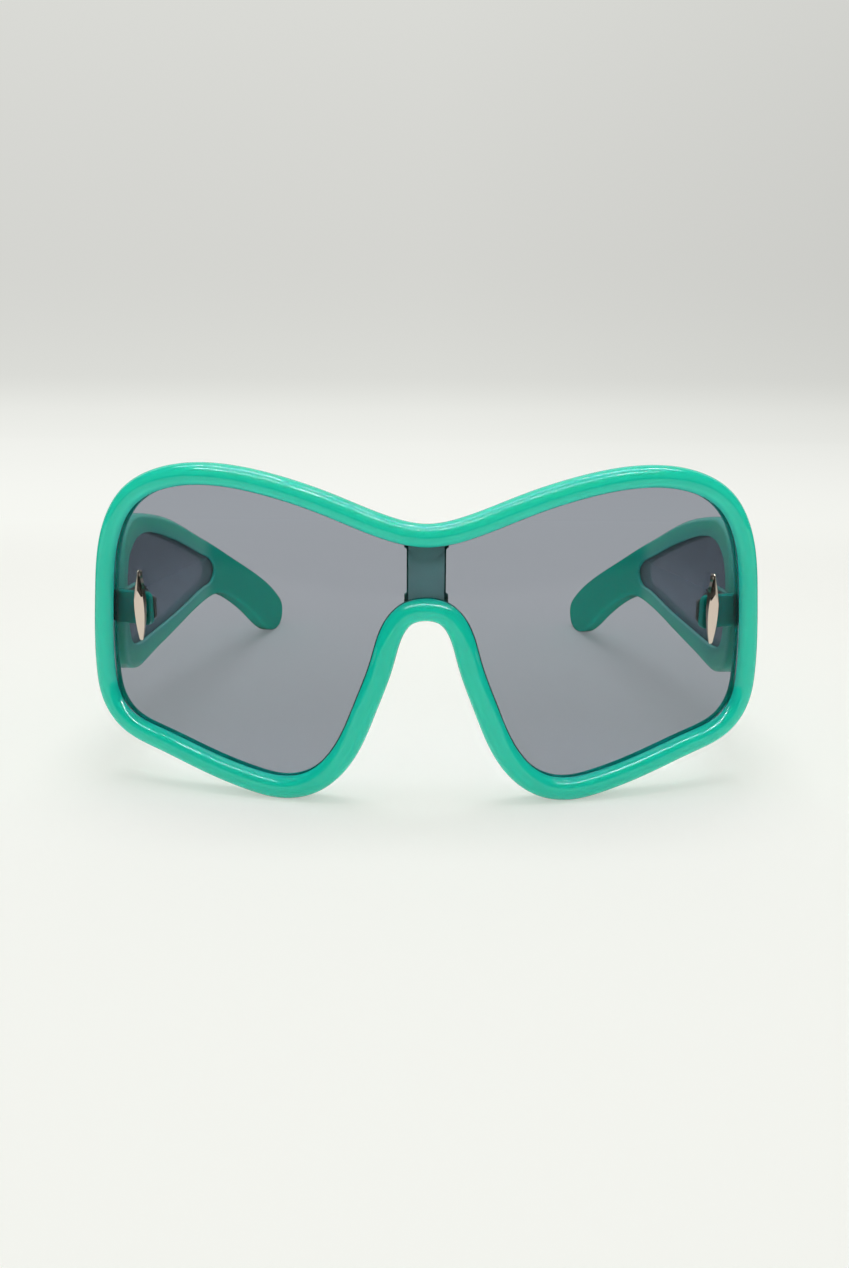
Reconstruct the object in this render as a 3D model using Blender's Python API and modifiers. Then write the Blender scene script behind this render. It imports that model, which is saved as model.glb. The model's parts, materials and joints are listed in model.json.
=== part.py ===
"""Oversized shield sunglasses with deep windowed temples.

Metres, +Z up. The glasses stand open on the plane Z = 0, on the two lower lobes of the rim
and the two temple tips, with the origin under the middle of the whole. The front faces -Y
and the temples run back along +Y. Left and right are the wearer's: left is at +X.

Everything that follows the wrap of the front, or the bow of a temple, is drawn flat first
and then bent: a flat point is (along, height, proud).
"""

import math

import bmesh
import bpy
import numpy as np
from mathutils import Matrix, Vector

# Front: the path of the middle of the rim, measured along the wrapped surface
FRONT_WIDTH = 0.1468
FRONT_RISE = 0.0669
WRAP_RADIUS = 0.170
RIM_WIDTH = 0.0054
RIM_DEPTH = 0.0056
RIM_TOP_SHARE = 0.85
RIM_OUTLINE_SHARES = (
    (0.000, 0.829), (0.125, 0.857), (0.270, 0.918), (0.428, 0.971), (0.620, 1.000),
    (0.774, 0.976), (0.873, 0.917), (0.948, 0.790), (0.984, 0.592), (1.000, 0.343),
    (0.987, 0.247), (0.945, 0.180), (0.812, 0.118), (0.654, 0.060), (0.519, 0.016),
    (0.429, 0.000), (0.345, 0.018), (0.274, 0.075), (0.222, 0.157), (0.172, 0.286),
    (0.124, 0.432), (0.094, 0.535), (0.056, 0.587), (0.000, 0.603),
)
RIM_STATIONS = 100
RIM_SECTION_POINTS = 12
SECTION_SQUARENESS = 2.3

# Shield lens, held in a groove inside the rim
LENS_THICKNESS = 0.0018
LENS_SETBACK = -0.0013
LENS_BITE = 0.0010
FIT_GAP = 0.0003

# Bar behind the lens, from the nose arch to the top of the rim
BAR_WIDTH = 0.0081
BAR_DEPTH = 0.0014
BAR_ROOT_FLARE = 0.0012

# Hinge tabs behind the lens: each is rooted in the middle of the rim's side
HINGE_HEIGHT = 0.0394
TAB_ROOT_INSET = 0.0006
TAB_LENGTH = 0.0109
TAB_TALL = 0.0074
TAB_DEPTH = 0.0015
TAB_CORNER = 0.0014
TAB_EDGE = 0.0005

# Plaques on the face of the lens, each over the inner end of its tab
PLAQUE_INSET = 0.0006
PLAQUE_RISE = 0.0013
PLAQUE_LEAN_DEG = 4.0
PLAQUE_TALL = 0.0158
PLAQUE_WIDE = 0.0026
PLAQUE_DEPTH = 0.0015
PLAQUE_POINT_RISE = 0.0034
PLAQUE_LOWER_FACET_DEPTH = 0.0009
PLAQUE_OUTER_FACET_DEPTH = 0.0005
PLAQUE_INNER_FACET_DEPTH = 0.0003
PLAQUE_UPPER_FACET_DEPTH = 0.0003
PLAQUE_OUTLINE_SHARES = (
    (0.16, 0.500), (0.55, 0.350), (0.92, 0.130), (1.00, 0.000),
    (0.97, -0.130), (0.76, -0.310), (0.56, -0.400), (0.24, -0.500),
)
POST_RADIUS = 0.00045
POST_OUTSET = 0.0006
POST_SPACING = 0.0030
POST_HEAD_RADIUS = 0.0008
POST_HEAD_DEPTH = 0.0005
HEAD_TOP_SHARE = 0.7

# Temples: the outline is drawn on the inner face, along from the hinge end
TEMPLE_LENGTH = 0.1373
TEMPLE_HEIGHT = 0.0577
TEMPLE_THICKNESS = 0.0050
TEMPLE_TIP_THICKNESS = 0.0041
TEMPLE_EDGE = 0.0010
TEMPLE_BOW_RADIUS = 1.100
TEMPLE_TOE_IN_DEG = 2.5
TEMPLE_OUTSET = 0.0037
TEMPLE_OVERLAP = 0.0017
TEMPLE_TAPER_SHARE = 0.50
TEMPLE_OUTLINE_SHARES = (
    (0.000, 0.560), (0.001, 0.690), (0.013, 0.835), (0.038, 0.945), (0.084, 0.996),
    (0.138, 0.989), (0.211, 0.956), (0.291, 0.903), (0.393, 0.814), (0.503, 0.716),
    (0.612, 0.611), (0.721, 0.504), (0.816, 0.406), (0.903, 0.303), (0.965, 0.211),
    (1.000, 0.114), (0.987, 0.031), (0.954, 0.000), (0.915, 0.008), (0.859, 0.060),
    (0.790, 0.161), (0.721, 0.259), (0.648, 0.347), (0.583, 0.410), (0.521, 0.446),
    (0.452, 0.453), (0.350, 0.437), (0.219, 0.408), (0.102, 0.386), (0.044, 0.388),
    (0.012, 0.436),
)
WINDOW_OUTLINE_SHARES = (
    (0.026, 0.600), (0.029, 0.722), (0.046, 0.834), (0.080, 0.893), (0.138, 0.906),
    (0.218, 0.867), (0.297, 0.810), (0.377, 0.742), (0.450, 0.677), (0.491, 0.634),
    (0.507, 0.586), (0.494, 0.541), (0.454, 0.524), (0.350, 0.505), (0.240, 0.486),
    (0.131, 0.478), (0.068, 0.480), (0.036, 0.506),
)
TEMPLE_POINTS = 78
WINDOW_POINTS = 44
SIDE_LENS_THICKNESS = 0.0016
SIDE_LENS_SETBACK = 0.0010
SIDE_LENS_BITE = 0.0010

# Hinge tab inside each window
TEMPLE_TAB_LENGTH = 0.0090
TEMPLE_TAB_TALL = 0.0056
TEMPLE_TAB_START = 0.0016
TEMPLE_TAB_RISE = 0.0004

# Hinges: a leaf on each side, three knuckles, and a screw down the middle
HINGE_AXIS_INSET = 0.00456
HINGE_AXIS_DEPTH = 0.00734
LEAF_THICKNESS = 0.0008
LEAF_TALL = 0.0052
FRONT_LEAF_INSET = 0.0002
FRONT_LEAF_LENGTH = 0.0063
TEMPLE_LEAF_START = 0.0010
TEMPLE_LEAF_LENGTH = 0.0075
LEAF_CORNER = 0.0009
KNUCKLE_RADIUS = 0.0017
KNUCKLE_BORE = 0.0009
KNUCKLE_SHARE = 0.30
KNUCKLE_WEB = 0.0007
PIN_RADIUS = 0.0006
SCREW_HEAD_RADIUS = 0.0013
SCREW_HEAD_DEPTH = 0.0006
SCREW_SLOT = 0.0004
RIVET_RADIUS = 0.00055
RIVET_HEAD_RADIUS = 0.0010
RIVET_HEAD_DEPTH = 0.0004
RIVET_PLACE_SHARES = (("front", 0.48), ("rear", 0.83))

# Small flats where the glasses rest
REST_FLAT = 0.0002

# Slices that let plates bend, tolerances, and the steps of round work
FRONT_SLICE = 0.008
TEMPLE_SLICE = 0.018
CUT_OVERRUN = 0.004
WELD = 0.000001
SNAP = 0.00002
FLAT_DEG = 0.05
FACET_DEG = 1.0
SMOOTH_DEG = 35.0
CURVE_STEPS = 24
CORNER_STEPS = 4
TURN_STEPS = 12
HEAD_STEPS = 16
KNUCKLE_STEPS = 14
MIDDLE_STATIONS = 4

# Places round the wrap, from the middle of the front
TAB_OUTER_END = 0.5 * FRONT_WIDTH - TAB_ROOT_INSET
TAB_INNER_END = TAB_OUTER_END - TAB_LENGTH
PLAQUE_PLACE = TAB_INNER_END + PLAQUE_INSET
FRONT_LEAF_START = TAB_INNER_END + FRONT_LEAF_INSET
FRONT_LEAF_END = FRONT_LEAF_START + FRONT_LEAF_LENGTH

# The hinge axis, and from it the hinge end of the temple
HINGE_ANGLE = (0.5 * FRONT_WIDTH - HINGE_AXIS_INSET) / WRAP_RADIUS
HINGE_ARM = WRAP_RADIUS - HINGE_AXIS_DEPTH
HINGE_X = HINGE_ARM * math.sin(HINGE_ANGLE)
HINGE_SETBACK = WRAP_RADIUS - HINGE_ARM * math.cos(HINGE_ANGLE)
TEMPLE_FACE_X = HINGE_X + TEMPLE_OUTSET
TEMPLE_SETBACK = HINGE_SETBACK - TEMPLE_OVERLAP

# Places along Y: the origin lies midway between the front and the temple tips
TOE_IN = math.radians(TEMPLE_TOE_IN_DEG)
TIP_ANGLE = TOE_IN + TEMPLE_LENGTH / TEMPLE_BOW_RADIUS
TEMPLE_REACH = (TEMPLE_BOW_RADIUS * (math.sin(TIP_ANGLE) - math.sin(TOE_IN))
                + TEMPLE_TIP_THICKNESS * math.sin(TIP_ANGLE))
FRONT_Y = 0.5 * (0.5 * RIM_DEPTH - TEMPLE_SETBACK - TEMPLE_REACH)
HINGE_Y = FRONT_Y + HINGE_SETBACK
TEMPLE_END_Y = FRONT_Y + TEMPLE_SETBACK

SIDES = {"left": 1.0, "right": -1.0}

# Finishes: colour, roughness, metallic
MINT = ((0.055, 0.565, 0.412, 1.0), 0.18, 0.0)
SMOKE = ((0.115, 0.120, 0.135, 1.0), 0.04, 0.0)
PALE_GOLD = ((0.720, 0.650, 0.560, 1.0), 0.15, 1.0)
NICKEL = ((0.560, 0.550, 0.520, 1.0), 0.25, 1.0)


# Scene and materials

def clear_scene():
    for obj in list(bpy.data.objects):
        bpy.data.objects.remove(obj, do_unlink=True)


def new_collection(name):
    collection = bpy.data.collections.new(name)
    bpy.context.scene.collection.children.link(collection)
    return collection


def new_material(name, colour, roughness, metallic):
    material = bpy.data.materials.new(name)
    material.use_nodes = True
    shader = material.node_tree.nodes["Principled BSDF"]
    shader.inputs["Base Color"].default_value = colour
    shader.inputs["Roughness"].default_value = roughness
    shader.inputs["Metallic"].default_value = metallic
    material.diffuse_color = colour
    return material


def new_object(name, mesh, collection, finish=None):
    """Link a mesh as an object, with a material of its own when a finish is given."""
    obj = bpy.data.objects.new(name, mesh)
    collection.objects.link(obj)
    if finish:
        mesh.materials.clear()
        mesh.materials.append(new_material(name + "_finish", *finish))
    return obj


def as_cutter(obj):
    obj.hide_render = True
    obj.display_type = "WIRE"
    return obj


def smooth(mesh):
    mesh.shade_smooth()
    mesh.set_sharp_from_angle(angle=math.radians(SMOOTH_DEG))


# Flat drawing

def smooth_loop(points, count):
    """A closed curve through the points with an even bend (a periodic cubic), evenly spaced."""
    knots = np.array(points, dtype=float)
    number = len(knots)
    spans = np.linalg.norm(np.roll(knots, -1, axis=0) - knots, axis=1)
    before = np.roll(spans, 1)
    system = np.zeros((number, number))
    right = np.zeros((number, 2))
    for i in range(number):
        after = (i + 1) % number
        system[i, i - 1] += before[i]
        system[i, i] += 2.0 * (before[i] + spans[i])
        system[i, after] += spans[i]
        rise = (knots[after] - knots[i]) / spans[i]
        rise_before = (knots[i] - knots[i - 1]) / before[i]
        right[i] = 6.0 * (rise - rise_before)
    bend = np.linalg.solve(system, right)
    fine = []
    for i in range(number):
        after = (i + 1) % number
        t = np.linspace(0.0, 1.0, CURVE_STEPS, endpoint=False)[:, None]
        arch = ((1.0 - t) ** 3 - (1.0 - t)) * bend[i] + (t ** 3 - t) * bend[after]
        fine.append((1.0 - t) * knots[i] + t * knots[after] + arch * spans[i] ** 2 / 6.0)
    fine = np.vstack(fine)
    closed = np.vstack([fine, fine[:1]])
    reach = np.concatenate([[0.0], np.cumsum(np.linalg.norm(np.diff(closed, axis=0), axis=1))])
    steps = np.linspace(0.0, reach[-1], count, endpoint=False)
    return np.column_stack([np.interp(steps, reach, closed[:, k]) for k in (0, 1)])


def loop_area(loop):
    nxt = np.roll(loop, -1, axis=0)
    return 0.5 * np.sum(loop[:, 0] * nxt[:, 1] - nxt[:, 0] * loop[:, 1])


def counterclockwise(loop):
    return loop if loop_area(loop) > 0.0 else loop[::-1]


def offset_loop(loop, outward):
    """Move a counterclockwise loop sideways, by one distance or by one for each point."""
    run = np.roll(loop, -1, axis=0) - np.roll(loop, 1, axis=0)
    run = run / np.linalg.norm(run, axis=1)[:, None]
    return loop + np.reshape(outward, (-1, 1)) * np.column_stack([run[:, 1], -run[:, 0]])


def rounded_box_loop(low, high, radius):
    """A rectangle with round corners, from its low and high corners."""
    loop = []
    for turn, (x, y) in enumerate(((1, 1), (0, 1), (0, 0), (1, 0))):
        centre_x = high[0] - radius if x else low[0] + radius
        centre_y = high[1] - radius if y else low[1] + radius
        for step in range(CORNER_STEPS + 1):
            angle = math.radians(90.0) * (turn + step / CORNER_STEPS)
            loop.append((centre_x + radius * math.cos(angle), centre_y + radius * math.sin(angle)))
    return np.array(loop)


def circle_loop(radius):
    angles = np.linspace(0.0, math.tau, TURN_STEPS, endpoint=False)
    return radius * np.column_stack([np.cos(angles), np.sin(angles)])


def curve_object(name, loops, widths=None):
    """A flat curve of closed loops; widths are the shares of the bevel's size at each point."""
    curve = bpy.data.curves.new(name, "CURVE")
    curve.dimensions = "2D"
    for loop in loops:
        spline = curve.splines.new("POLY")
        spline.points.add(len(loop) - 1)
        spline.use_cyclic_u = True
        for i, (x, y) in enumerate(loop):
            spline.points[i].co = (x, y, 0.0, 1.0)
            if widths is not None:
                spline.points[i].radius = widths[i]
    obj = bpy.data.objects.new(name, curve)
    bpy.context.scene.collection.objects.link(obj)
    return obj


def mesh_from_curve(obj):
    """The curve's surface as a welded mesh; the curve itself is removed."""
    bpy.context.view_layer.update()
    evaluated = obj.evaluated_get(bpy.context.evaluated_depsgraph_get())
    mesh = bpy.data.meshes.new_from_object(evaluated)
    curve = obj.data
    bpy.data.objects.remove(obj, do_unlink=True)
    bpy.data.curves.remove(curve)
    bm = bmesh.new()
    bm.from_mesh(mesh)
    bmesh.ops.remove_doubles(bm, verts=bm.verts, dist=WELD)
    bmesh.ops.dissolve_degenerate(bm, dist=WELD, edges=bm.edges)
    bmesh.ops.recalc_face_normals(bm, faces=bm.faces)
    bm.to_mesh(mesh)
    bm.free()
    return mesh


def flat_plate(name, loop, low, high, edge=0.0, edge_resolution=1, hole=None):
    """A plate with the loop's outline between two heights, its edges rounded by edge."""
    loops = [offset_loop(counterclockwise(loop), -edge)]
    if hole is not None:
        loops.append(offset_loop(hole, edge)[::-1])
    obj = curve_object(name, loops)
    obj.data.fill_mode = "BOTH"
    obj.data.extrude = 0.5 * (high - low) - edge
    obj.data.bevel_depth = edge
    obj.data.bevel_resolution = edge_resolution
    mesh = mesh_from_curve(obj)
    mesh.transform(Matrix.Translation((0.0, 0.0, 0.5 * (low + high))))
    return mesh


def bend(mesh, rule, slice_length=None, first_slice_share=0.0):
    """Slice a flat mesh across its length, then move each point by the rule."""
    bm = bmesh.new()
    bm.from_mesh(mesh)
    if slice_length:
        bmesh.ops.dissolve_limit(bm, angle_limit=math.radians(FLAT_DEG), verts=[], edges=bm.edges)
        along = [vert.co.x for vert in bm.verts]
        cut = (math.floor(min(along) / slice_length) + 1.0 + first_slice_share) * slice_length
        while cut < max(along):
            everything = bm.verts[:] + bm.edges[:] + bm.faces[:]
            bmesh.ops.bisect_plane(bm, geom=everything, dist=SNAP, plane_co=(cut, 0.0, 0.0),
                                   plane_no=(1.0, 0.0, 0.0))
            cut += slice_length
        bmesh.ops.remove_doubles(bm, verts=bm.verts, dist=SNAP)
    bmesh.ops.triangulate(bm, faces=bm.faces)
    bm.to_mesh(mesh)
    bm.free()
    points = np.empty(3 * len(mesh.vertices))
    mesh.vertices.foreach_get("co", points)
    mesh.vertices.foreach_set("co", rule(points.reshape(-1, 3)).ravel())
    mesh.update()
    return mesh


def mirrored(mesh, side):
    """The mesh itself on the left, and its mirror image on the right."""
    if side > 0.0:
        return mesh
    mesh.transform(Matrix.Scale(-1.0, 4, (1.0, 0.0, 0.0)))
    mesh.flip_normals()
    return mesh


def boolean(obj, other, operation):
    modifier = obj.modifiers.new(operation.lower() + "_" + other.name, "BOOLEAN")
    modifier.object = other
    modifier.operation = operation
    modifier.solver = "EXACT"


def move_origin(obj, place):
    """Put the object's origin at a place without moving its shape."""
    obj.data.transform(Matrix.Translation(-Vector(place)))
    obj.location = place


# The two bending rules

def wrap_front(points):
    """Bend the front round a cylinder: proud points stand towards the viewer."""
    angle = points[:, 0] / WRAP_RADIUS
    radius = WRAP_RADIUS + points[:, 2]
    back = FRONT_Y + WRAP_RADIUS - radius * np.cos(angle)
    return np.column_stack([radius * np.sin(angle), back, points[:, 1]])


def wrap_matrix(along, height, proud):
    """The frame that is flat against the wrapped front at a place: x along, y up, z outward."""
    angle = along / WRAP_RADIUS
    radius = WRAP_RADIUS + proud
    out = Vector((math.sin(angle), -math.cos(angle), 0.0))
    run = Vector((math.cos(angle), math.sin(angle), 0.0))
    back = FRONT_Y + WRAP_RADIUS - radius * math.cos(angle)
    place = Vector((radius * math.sin(angle), back, height))
    return Matrix.Translation(place) @ Matrix((run, (0.0, 0.0, 1.0), out)).transposed().to_4x4()


def bow_temple(points):
    """Bow a left temple: proud is 0 on the inner face and grows outwards."""
    angle = TOE_IN + points[:, 0] / TEMPLE_BOW_RADIUS
    taper_from = TEMPLE_TAPER_SHARE * TEMPLE_LENGTH
    share = np.clip((points[:, 0] - taper_from) / (TEMPLE_LENGTH - taper_from), 0.0, 1.0)
    thin = 1.0 - share * (1.0 - TEMPLE_TIP_THICKNESS / TEMPLE_THICKNESS)
    out = points[:, 2] * thin
    x = TEMPLE_FACE_X - TEMPLE_BOW_RADIUS * (math.cos(TOE_IN) - np.cos(angle)) + out * np.cos(angle)
    y = TEMPLE_END_Y + TEMPLE_BOW_RADIUS * (np.sin(angle) - math.sin(TOE_IN)) + out * np.sin(angle)
    return np.column_stack([x, y, points[:, 1]])


# Outlines in metres

def rim_path():
    """The middle of the rim all round, with its lowest point a half width up, less the flat."""
    half = [(0.5 * FRONT_WIDTH * x, FRONT_RISE * z) for x, z in RIM_OUTLINE_SHARES]
    other_half = [(-x, z) for x, z in half[-2:0:-1]]
    loop = counterclockwise(smooth_loop(half + other_half, RIM_STATIONS))
    lift = 0.5 * RIM_WIDTH - REST_FLAT - loop[:, 1].min()
    return loop + np.array([0.0, lift])


def rim_widths(path):
    """The share of the full rim at each point of its path: the rim thins towards the top."""
    height = path[:, 1] - path[:, 1].min()
    return 1.0 - (1.0 - RIM_TOP_SHARE) * height / height.max()


def temple_loop():
    points = [(TEMPLE_LENGTH * u, TEMPLE_HEIGHT * z) for u, z in TEMPLE_OUTLINE_SHARES]
    loop = smooth_loop(points, TEMPLE_POINTS)
    return loop - np.array([loop[:, 0].min(), loop[:, 1].min() + REST_FLAT])


def window_loop():
    points = [(TEMPLE_LENGTH * u, TEMPLE_HEIGHT * z) for u, z in WINDOW_OUTLINE_SHARES]
    return counterclockwise(smooth_loop(points, WINDOW_POINTS))


# Front

def rim_mesh(path):
    """A tube of rounded section carried round the path."""
    angles = np.linspace(0.0, math.tau, RIM_SECTION_POINTS, endpoint=False)
    power = 2.0 / SECTION_SQUARENESS
    wide = 0.5 * RIM_WIDTH * np.sign(np.cos(angles)) * np.abs(np.cos(angles)) ** power
    deep = 0.5 * RIM_DEPTH * np.sign(np.sin(angles)) * np.abs(np.sin(angles)) ** power
    section = curve_object("rim_section", [np.column_stack([wide, deep])])
    section.data.fill_mode = "NONE"
    obj = curve_object("rim_path", [path], rim_widths(path))
    obj.data.fill_mode = "NONE"
    obj.data.bevel_mode = "OBJECT"
    obj.data.bevel_object = section
    mesh = mesh_from_curve(obj)
    bpy.data.objects.remove(section, do_unlink=True)
    return bend(mesh, wrap_front)


def bar_mesh(path):
    """The bar behind the lens, flared where it grows out of the rim at both ends."""
    middle = path[np.argsort(np.abs(path[:, 0]))[:MIDDLE_STATIONS], 1]
    low = middle.min()
    high = middle.max()
    half = 0.5 * BAR_WIDTH
    edge = 0.5 * RIM_WIDTH
    right = [(half + BAR_ROOT_FLARE, low)]
    for step in range(CORNER_STEPS + 1):
        angle = math.radians(90.0) * step / CORNER_STEPS
        right.append((half + BAR_ROOT_FLARE * (1.0 - math.sin(angle)),
                      low + edge + BAR_ROOT_FLARE * (1.0 - math.cos(angle))))
    right += [(x, low + high - z) for x, z in right[::-1]]
    loop = np.array(right + [(-x, z) for x, z in right[::-1]])
    back = LENS_SETBACK - FIT_GAP - BAR_DEPTH
    return bend(flat_plate("bar", loop, back, LENS_SETBACK), wrap_front)


def tab_mesh(side):
    """The hinge tab: it grows from the rim and ends in a rounded step behind the lens."""
    loop = rounded_box_loop((TAB_INNER_END, HINGE_HEIGHT - 0.5 * TAB_TALL),
                            (TAB_OUTER_END, HINGE_HEIGHT + 0.5 * TAB_TALL), TAB_CORNER)
    back = LENS_SETBACK - FIT_GAP - TAB_DEPTH
    mesh = flat_plate("tab", loop, back, LENS_SETBACK + TAB_EDGE, TAB_EDGE)
    return mirrored(bend(mesh, wrap_front), side)


def plaque_matrix():
    """The plaque's own frame on the wrapped front: it leans like the side of the rim."""
    lean = Matrix.Rotation(math.radians(PLAQUE_LEAN_DEG), 4, "Z")
    return wrap_matrix(PLAQUE_PLACE, HINGE_HEIGHT + PLAQUE_RISE, 0.0) @ lean


def post_matrix(level):
    """The middle of a post in the plaque's frame: the two stand about the hinge's height."""
    height = 0.5 * level * POST_SPACING - PLAQUE_RISE
    return plaque_matrix() @ Matrix.Translation((POST_OUTSET, height, 0.0))


def post_hole_mesh(side, level):
    """A round hole for a plaque's post, square to the wrapped front."""
    loop = circle_loop(POST_RADIUS + FIT_GAP)
    reach = TAB_DEPTH + LEAF_THICKNESS + CUT_OVERRUN
    mesh = flat_plate("post_hole", loop, -reach, CUT_OVERRUN)
    mesh.transform(post_matrix(level))
    return mirrored(mesh, side)


def floor_mesh():
    """A block below the plane that the glasses rest on."""
    bm = bmesh.new()
    bmesh.ops.create_cube(bm, size=1.0)
    mesh = bpy.data.meshes.new("floor_block")
    bm.to_mesh(mesh)
    bm.free()
    front = FRONT_Y - CUT_OVERRUN
    back = TEMPLE_END_Y + TEMPLE_LENGTH + CUT_OVERRUN
    width = FRONT_WIDTH + 2.0 * RIM_WIDTH
    mesh.transform(Matrix.Diagonal((width, back - front, CUT_OVERRUN, 1.0)))
    mesh.transform(Matrix.Translation((0.0, 0.5 * (front + back), -0.5 * CUT_OVERRUN)))
    return mesh


def build_front(parts, cutters, floor):
    path = rim_path()
    front = new_object("front_frame", rim_mesh(path), parts, MINT)
    bar = as_cutter(new_object("bar_stock", bar_mesh(path), cutters))
    boolean(front, bar, "UNION")
    for side_name, side in SIDES.items():
        tab = as_cutter(new_object(side_name + "_tab_stock", tab_mesh(side), cutters))
        boolean(front, tab, "UNION")

    inner_edge = -0.5 * RIM_WIDTH * rim_widths(path)
    lens_loop = offset_loop(path, inner_edge + LENS_BITE)
    seat_loop = offset_loop(path, inner_edge + LENS_BITE + FIT_GAP)
    lens_front = LENS_SETBACK + LENS_THICKNESS
    seat = flat_plate("seat", seat_loop, LENS_SETBACK - FIT_GAP, lens_front + FIT_GAP)
    seat = as_cutter(new_object("lens_seat", bend(seat, wrap_front, FRONT_SLICE, 0.5), cutters))
    boolean(front, seat, "DIFFERENCE")
    lens = bend(flat_plate("lens", lens_loop, LENS_SETBACK, lens_front), wrap_front, FRONT_SLICE)
    lens = new_object("shield_lens", lens, parts, SMOKE)

    for side_name, side in SIDES.items():
        for level_name, level in (("upper", 1.0), ("lower", -1.0)):
            name = side_name + "_" + level_name + "_post_hole"
            hole = as_cutter(new_object(name, post_hole_mesh(side, level), cutters))
            boolean(front, hole, "DIFFERENCE")
            boolean(lens, hole, "DIFFERENCE")
    boolean(front, floor, "DIFFERENCE")
    smooth(front.data)
    smooth(lens.data)


def grind_facet(bm, place, normal):
    """Cut away what lies in front of a plane, and close the cut with a flat facet."""
    everything = bm.verts[:] + bm.edges[:] + bm.faces[:]
    cut = bmesh.ops.bisect_plane(bm, geom=everything, dist=WELD, plane_co=place,
                                 plane_no=normal, clear_outer=True)
    edges = [item for item in cut["geom_cut"] if isinstance(item, bmesh.types.BMEdge)]
    bmesh.ops.contextual_create(bm, geom=edges)


def plaque_mesh(side):
    """A long lozenge ground to three facets that meet in a point, with two posts behind."""
    right = [(0.5 * PLAQUE_WIDE * x, PLAQUE_TALL * z) for x, z in PLAQUE_OUTLINE_SHARES]
    loop = np.array(right + [(-x, z) for x, z in right[::-1]])
    mesh = flat_plate("plaque", loop, 0.0, PLAQUE_DEPTH)
    bm = bmesh.new()
    bm.from_mesh(mesh)
    bmesh.ops.dissolve_limit(bm, angle_limit=math.radians(FACET_DEG), verts=bm.verts, edges=bm.edges)
    point = Vector((0.0, PLAQUE_POINT_RISE, PLAQUE_DEPTH))
    lower_tilt = PLAQUE_LOWER_FACET_DEPTH / (0.5 * PLAQUE_TALL + PLAQUE_POINT_RISE)
    upper_tilt = PLAQUE_UPPER_FACET_DEPTH / (0.5 * PLAQUE_TALL - PLAQUE_POINT_RISE)
    outer_tilt = PLAQUE_OUTER_FACET_DEPTH / (0.5 * PLAQUE_WIDE)
    inner_tilt = PLAQUE_INNER_FACET_DEPTH / (0.5 * PLAQUE_WIDE)
    grind_facet(bm, point, (0.0, -lower_tilt, 1.0))
    grind_facet(bm, point, (outer_tilt, upper_tilt, 1.0))
    grind_facet(bm, point, (-inner_tilt, upper_tilt, 1.0))
    bmesh.ops.recalc_face_normals(bm, faces=bm.faces)
    bm.to_mesh(mesh)
    bm.free()
    seat = LENS_SETBACK + LENS_THICKNESS + FIT_GAP
    mesh.transform(plaque_matrix() @ Matrix.Translation((0.0, 0.0, seat)))
    return mirrored(mesh, side)


def post_mesh(side, level):
    """A plaque's post: turned, with a peened head behind the hinge leaf."""
    start = LENS_SETBACK + LENS_THICKNESS + 2.0 * FIT_GAP
    leaf_back = LENS_SETBACK - 2.0 * FIT_GAP - TAB_DEPTH - LEAF_THICKNESS
    head_front = leaf_back - FIT_GAP
    head_back = head_front - POST_HEAD_DEPTH
    profile = [(0.0, start), (POST_RADIUS, start), (POST_RADIUS, head_front),
               (POST_HEAD_RADIUS, head_front), (HEAD_TOP_SHARE * POST_HEAD_RADIUS, head_back),
               (0.0, head_back)]
    mesh = turned_mesh("post", profile, TURN_STEPS)
    mesh.transform(post_matrix(level))
    return mirrored(mesh, side)


def turned_mesh(name, profile, steps):
    """Turn a profile of (radius, height) points round Z and weld it into a closed solid."""
    mesh = bpy.data.meshes.new(name + "_profile")
    verts = [(radius, 0.0, height) for radius, height in profile]
    mesh.from_pydata(verts, [(i, i + 1) for i in range(len(verts) - 1)], [])
    obj = bpy.data.objects.new(name, mesh)
    bpy.context.scene.collection.objects.link(obj)
    screw = obj.modifiers.new("turn", "SCREW")
    screw.steps = steps
    screw.render_steps = steps
    screw.use_merge_vertices = True
    screw.merge_threshold = WELD
    return mesh_from_object(obj)


def mesh_from_object(obj):
    """The object's shape with its modifiers, as a mesh; the object itself is removed."""
    bpy.context.view_layer.update()
    evaluated = obj.evaluated_get(bpy.context.evaluated_depsgraph_get())
    mesh = bpy.data.meshes.new_from_object(evaluated)
    bpy.data.objects.remove(obj, do_unlink=True)
    bm = bmesh.new()
    bm.from_mesh(mesh)
    bmesh.ops.remove_doubles(bm, verts=bm.verts, dist=WELD)
    bmesh.ops.recalc_face_normals(bm, faces=bm.faces)
    bm.to_mesh(mesh)
    bm.free()
    return mesh


def build_plaques(parts, cutters):
    for side_name, side in SIDES.items():
        plaque = new_object(side_name + "_plaque", plaque_mesh(side), parts, PALE_GOLD)
        for level_name, level in (("upper", 1.0), ("lower", -1.0)):
            name = side_name + "_" + level_name + "_post"
            post = as_cutter(new_object(name, post_mesh(side, level), cutters))
            boolean(plaque, post, "UNION")


# Hinges

def knuckle_spans():
    """The heights of the three knuckles about the hinge's middle, lowest first."""
    tall = KNUCKLE_SHARE * LEAF_TALL
    low = -0.5 * LEAF_TALL
    high = 0.5 * LEAF_TALL
    return ((low, low + tall), (low + tall + FIT_GAP, high - tall - FIT_GAP), (high - tall, high))


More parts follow.
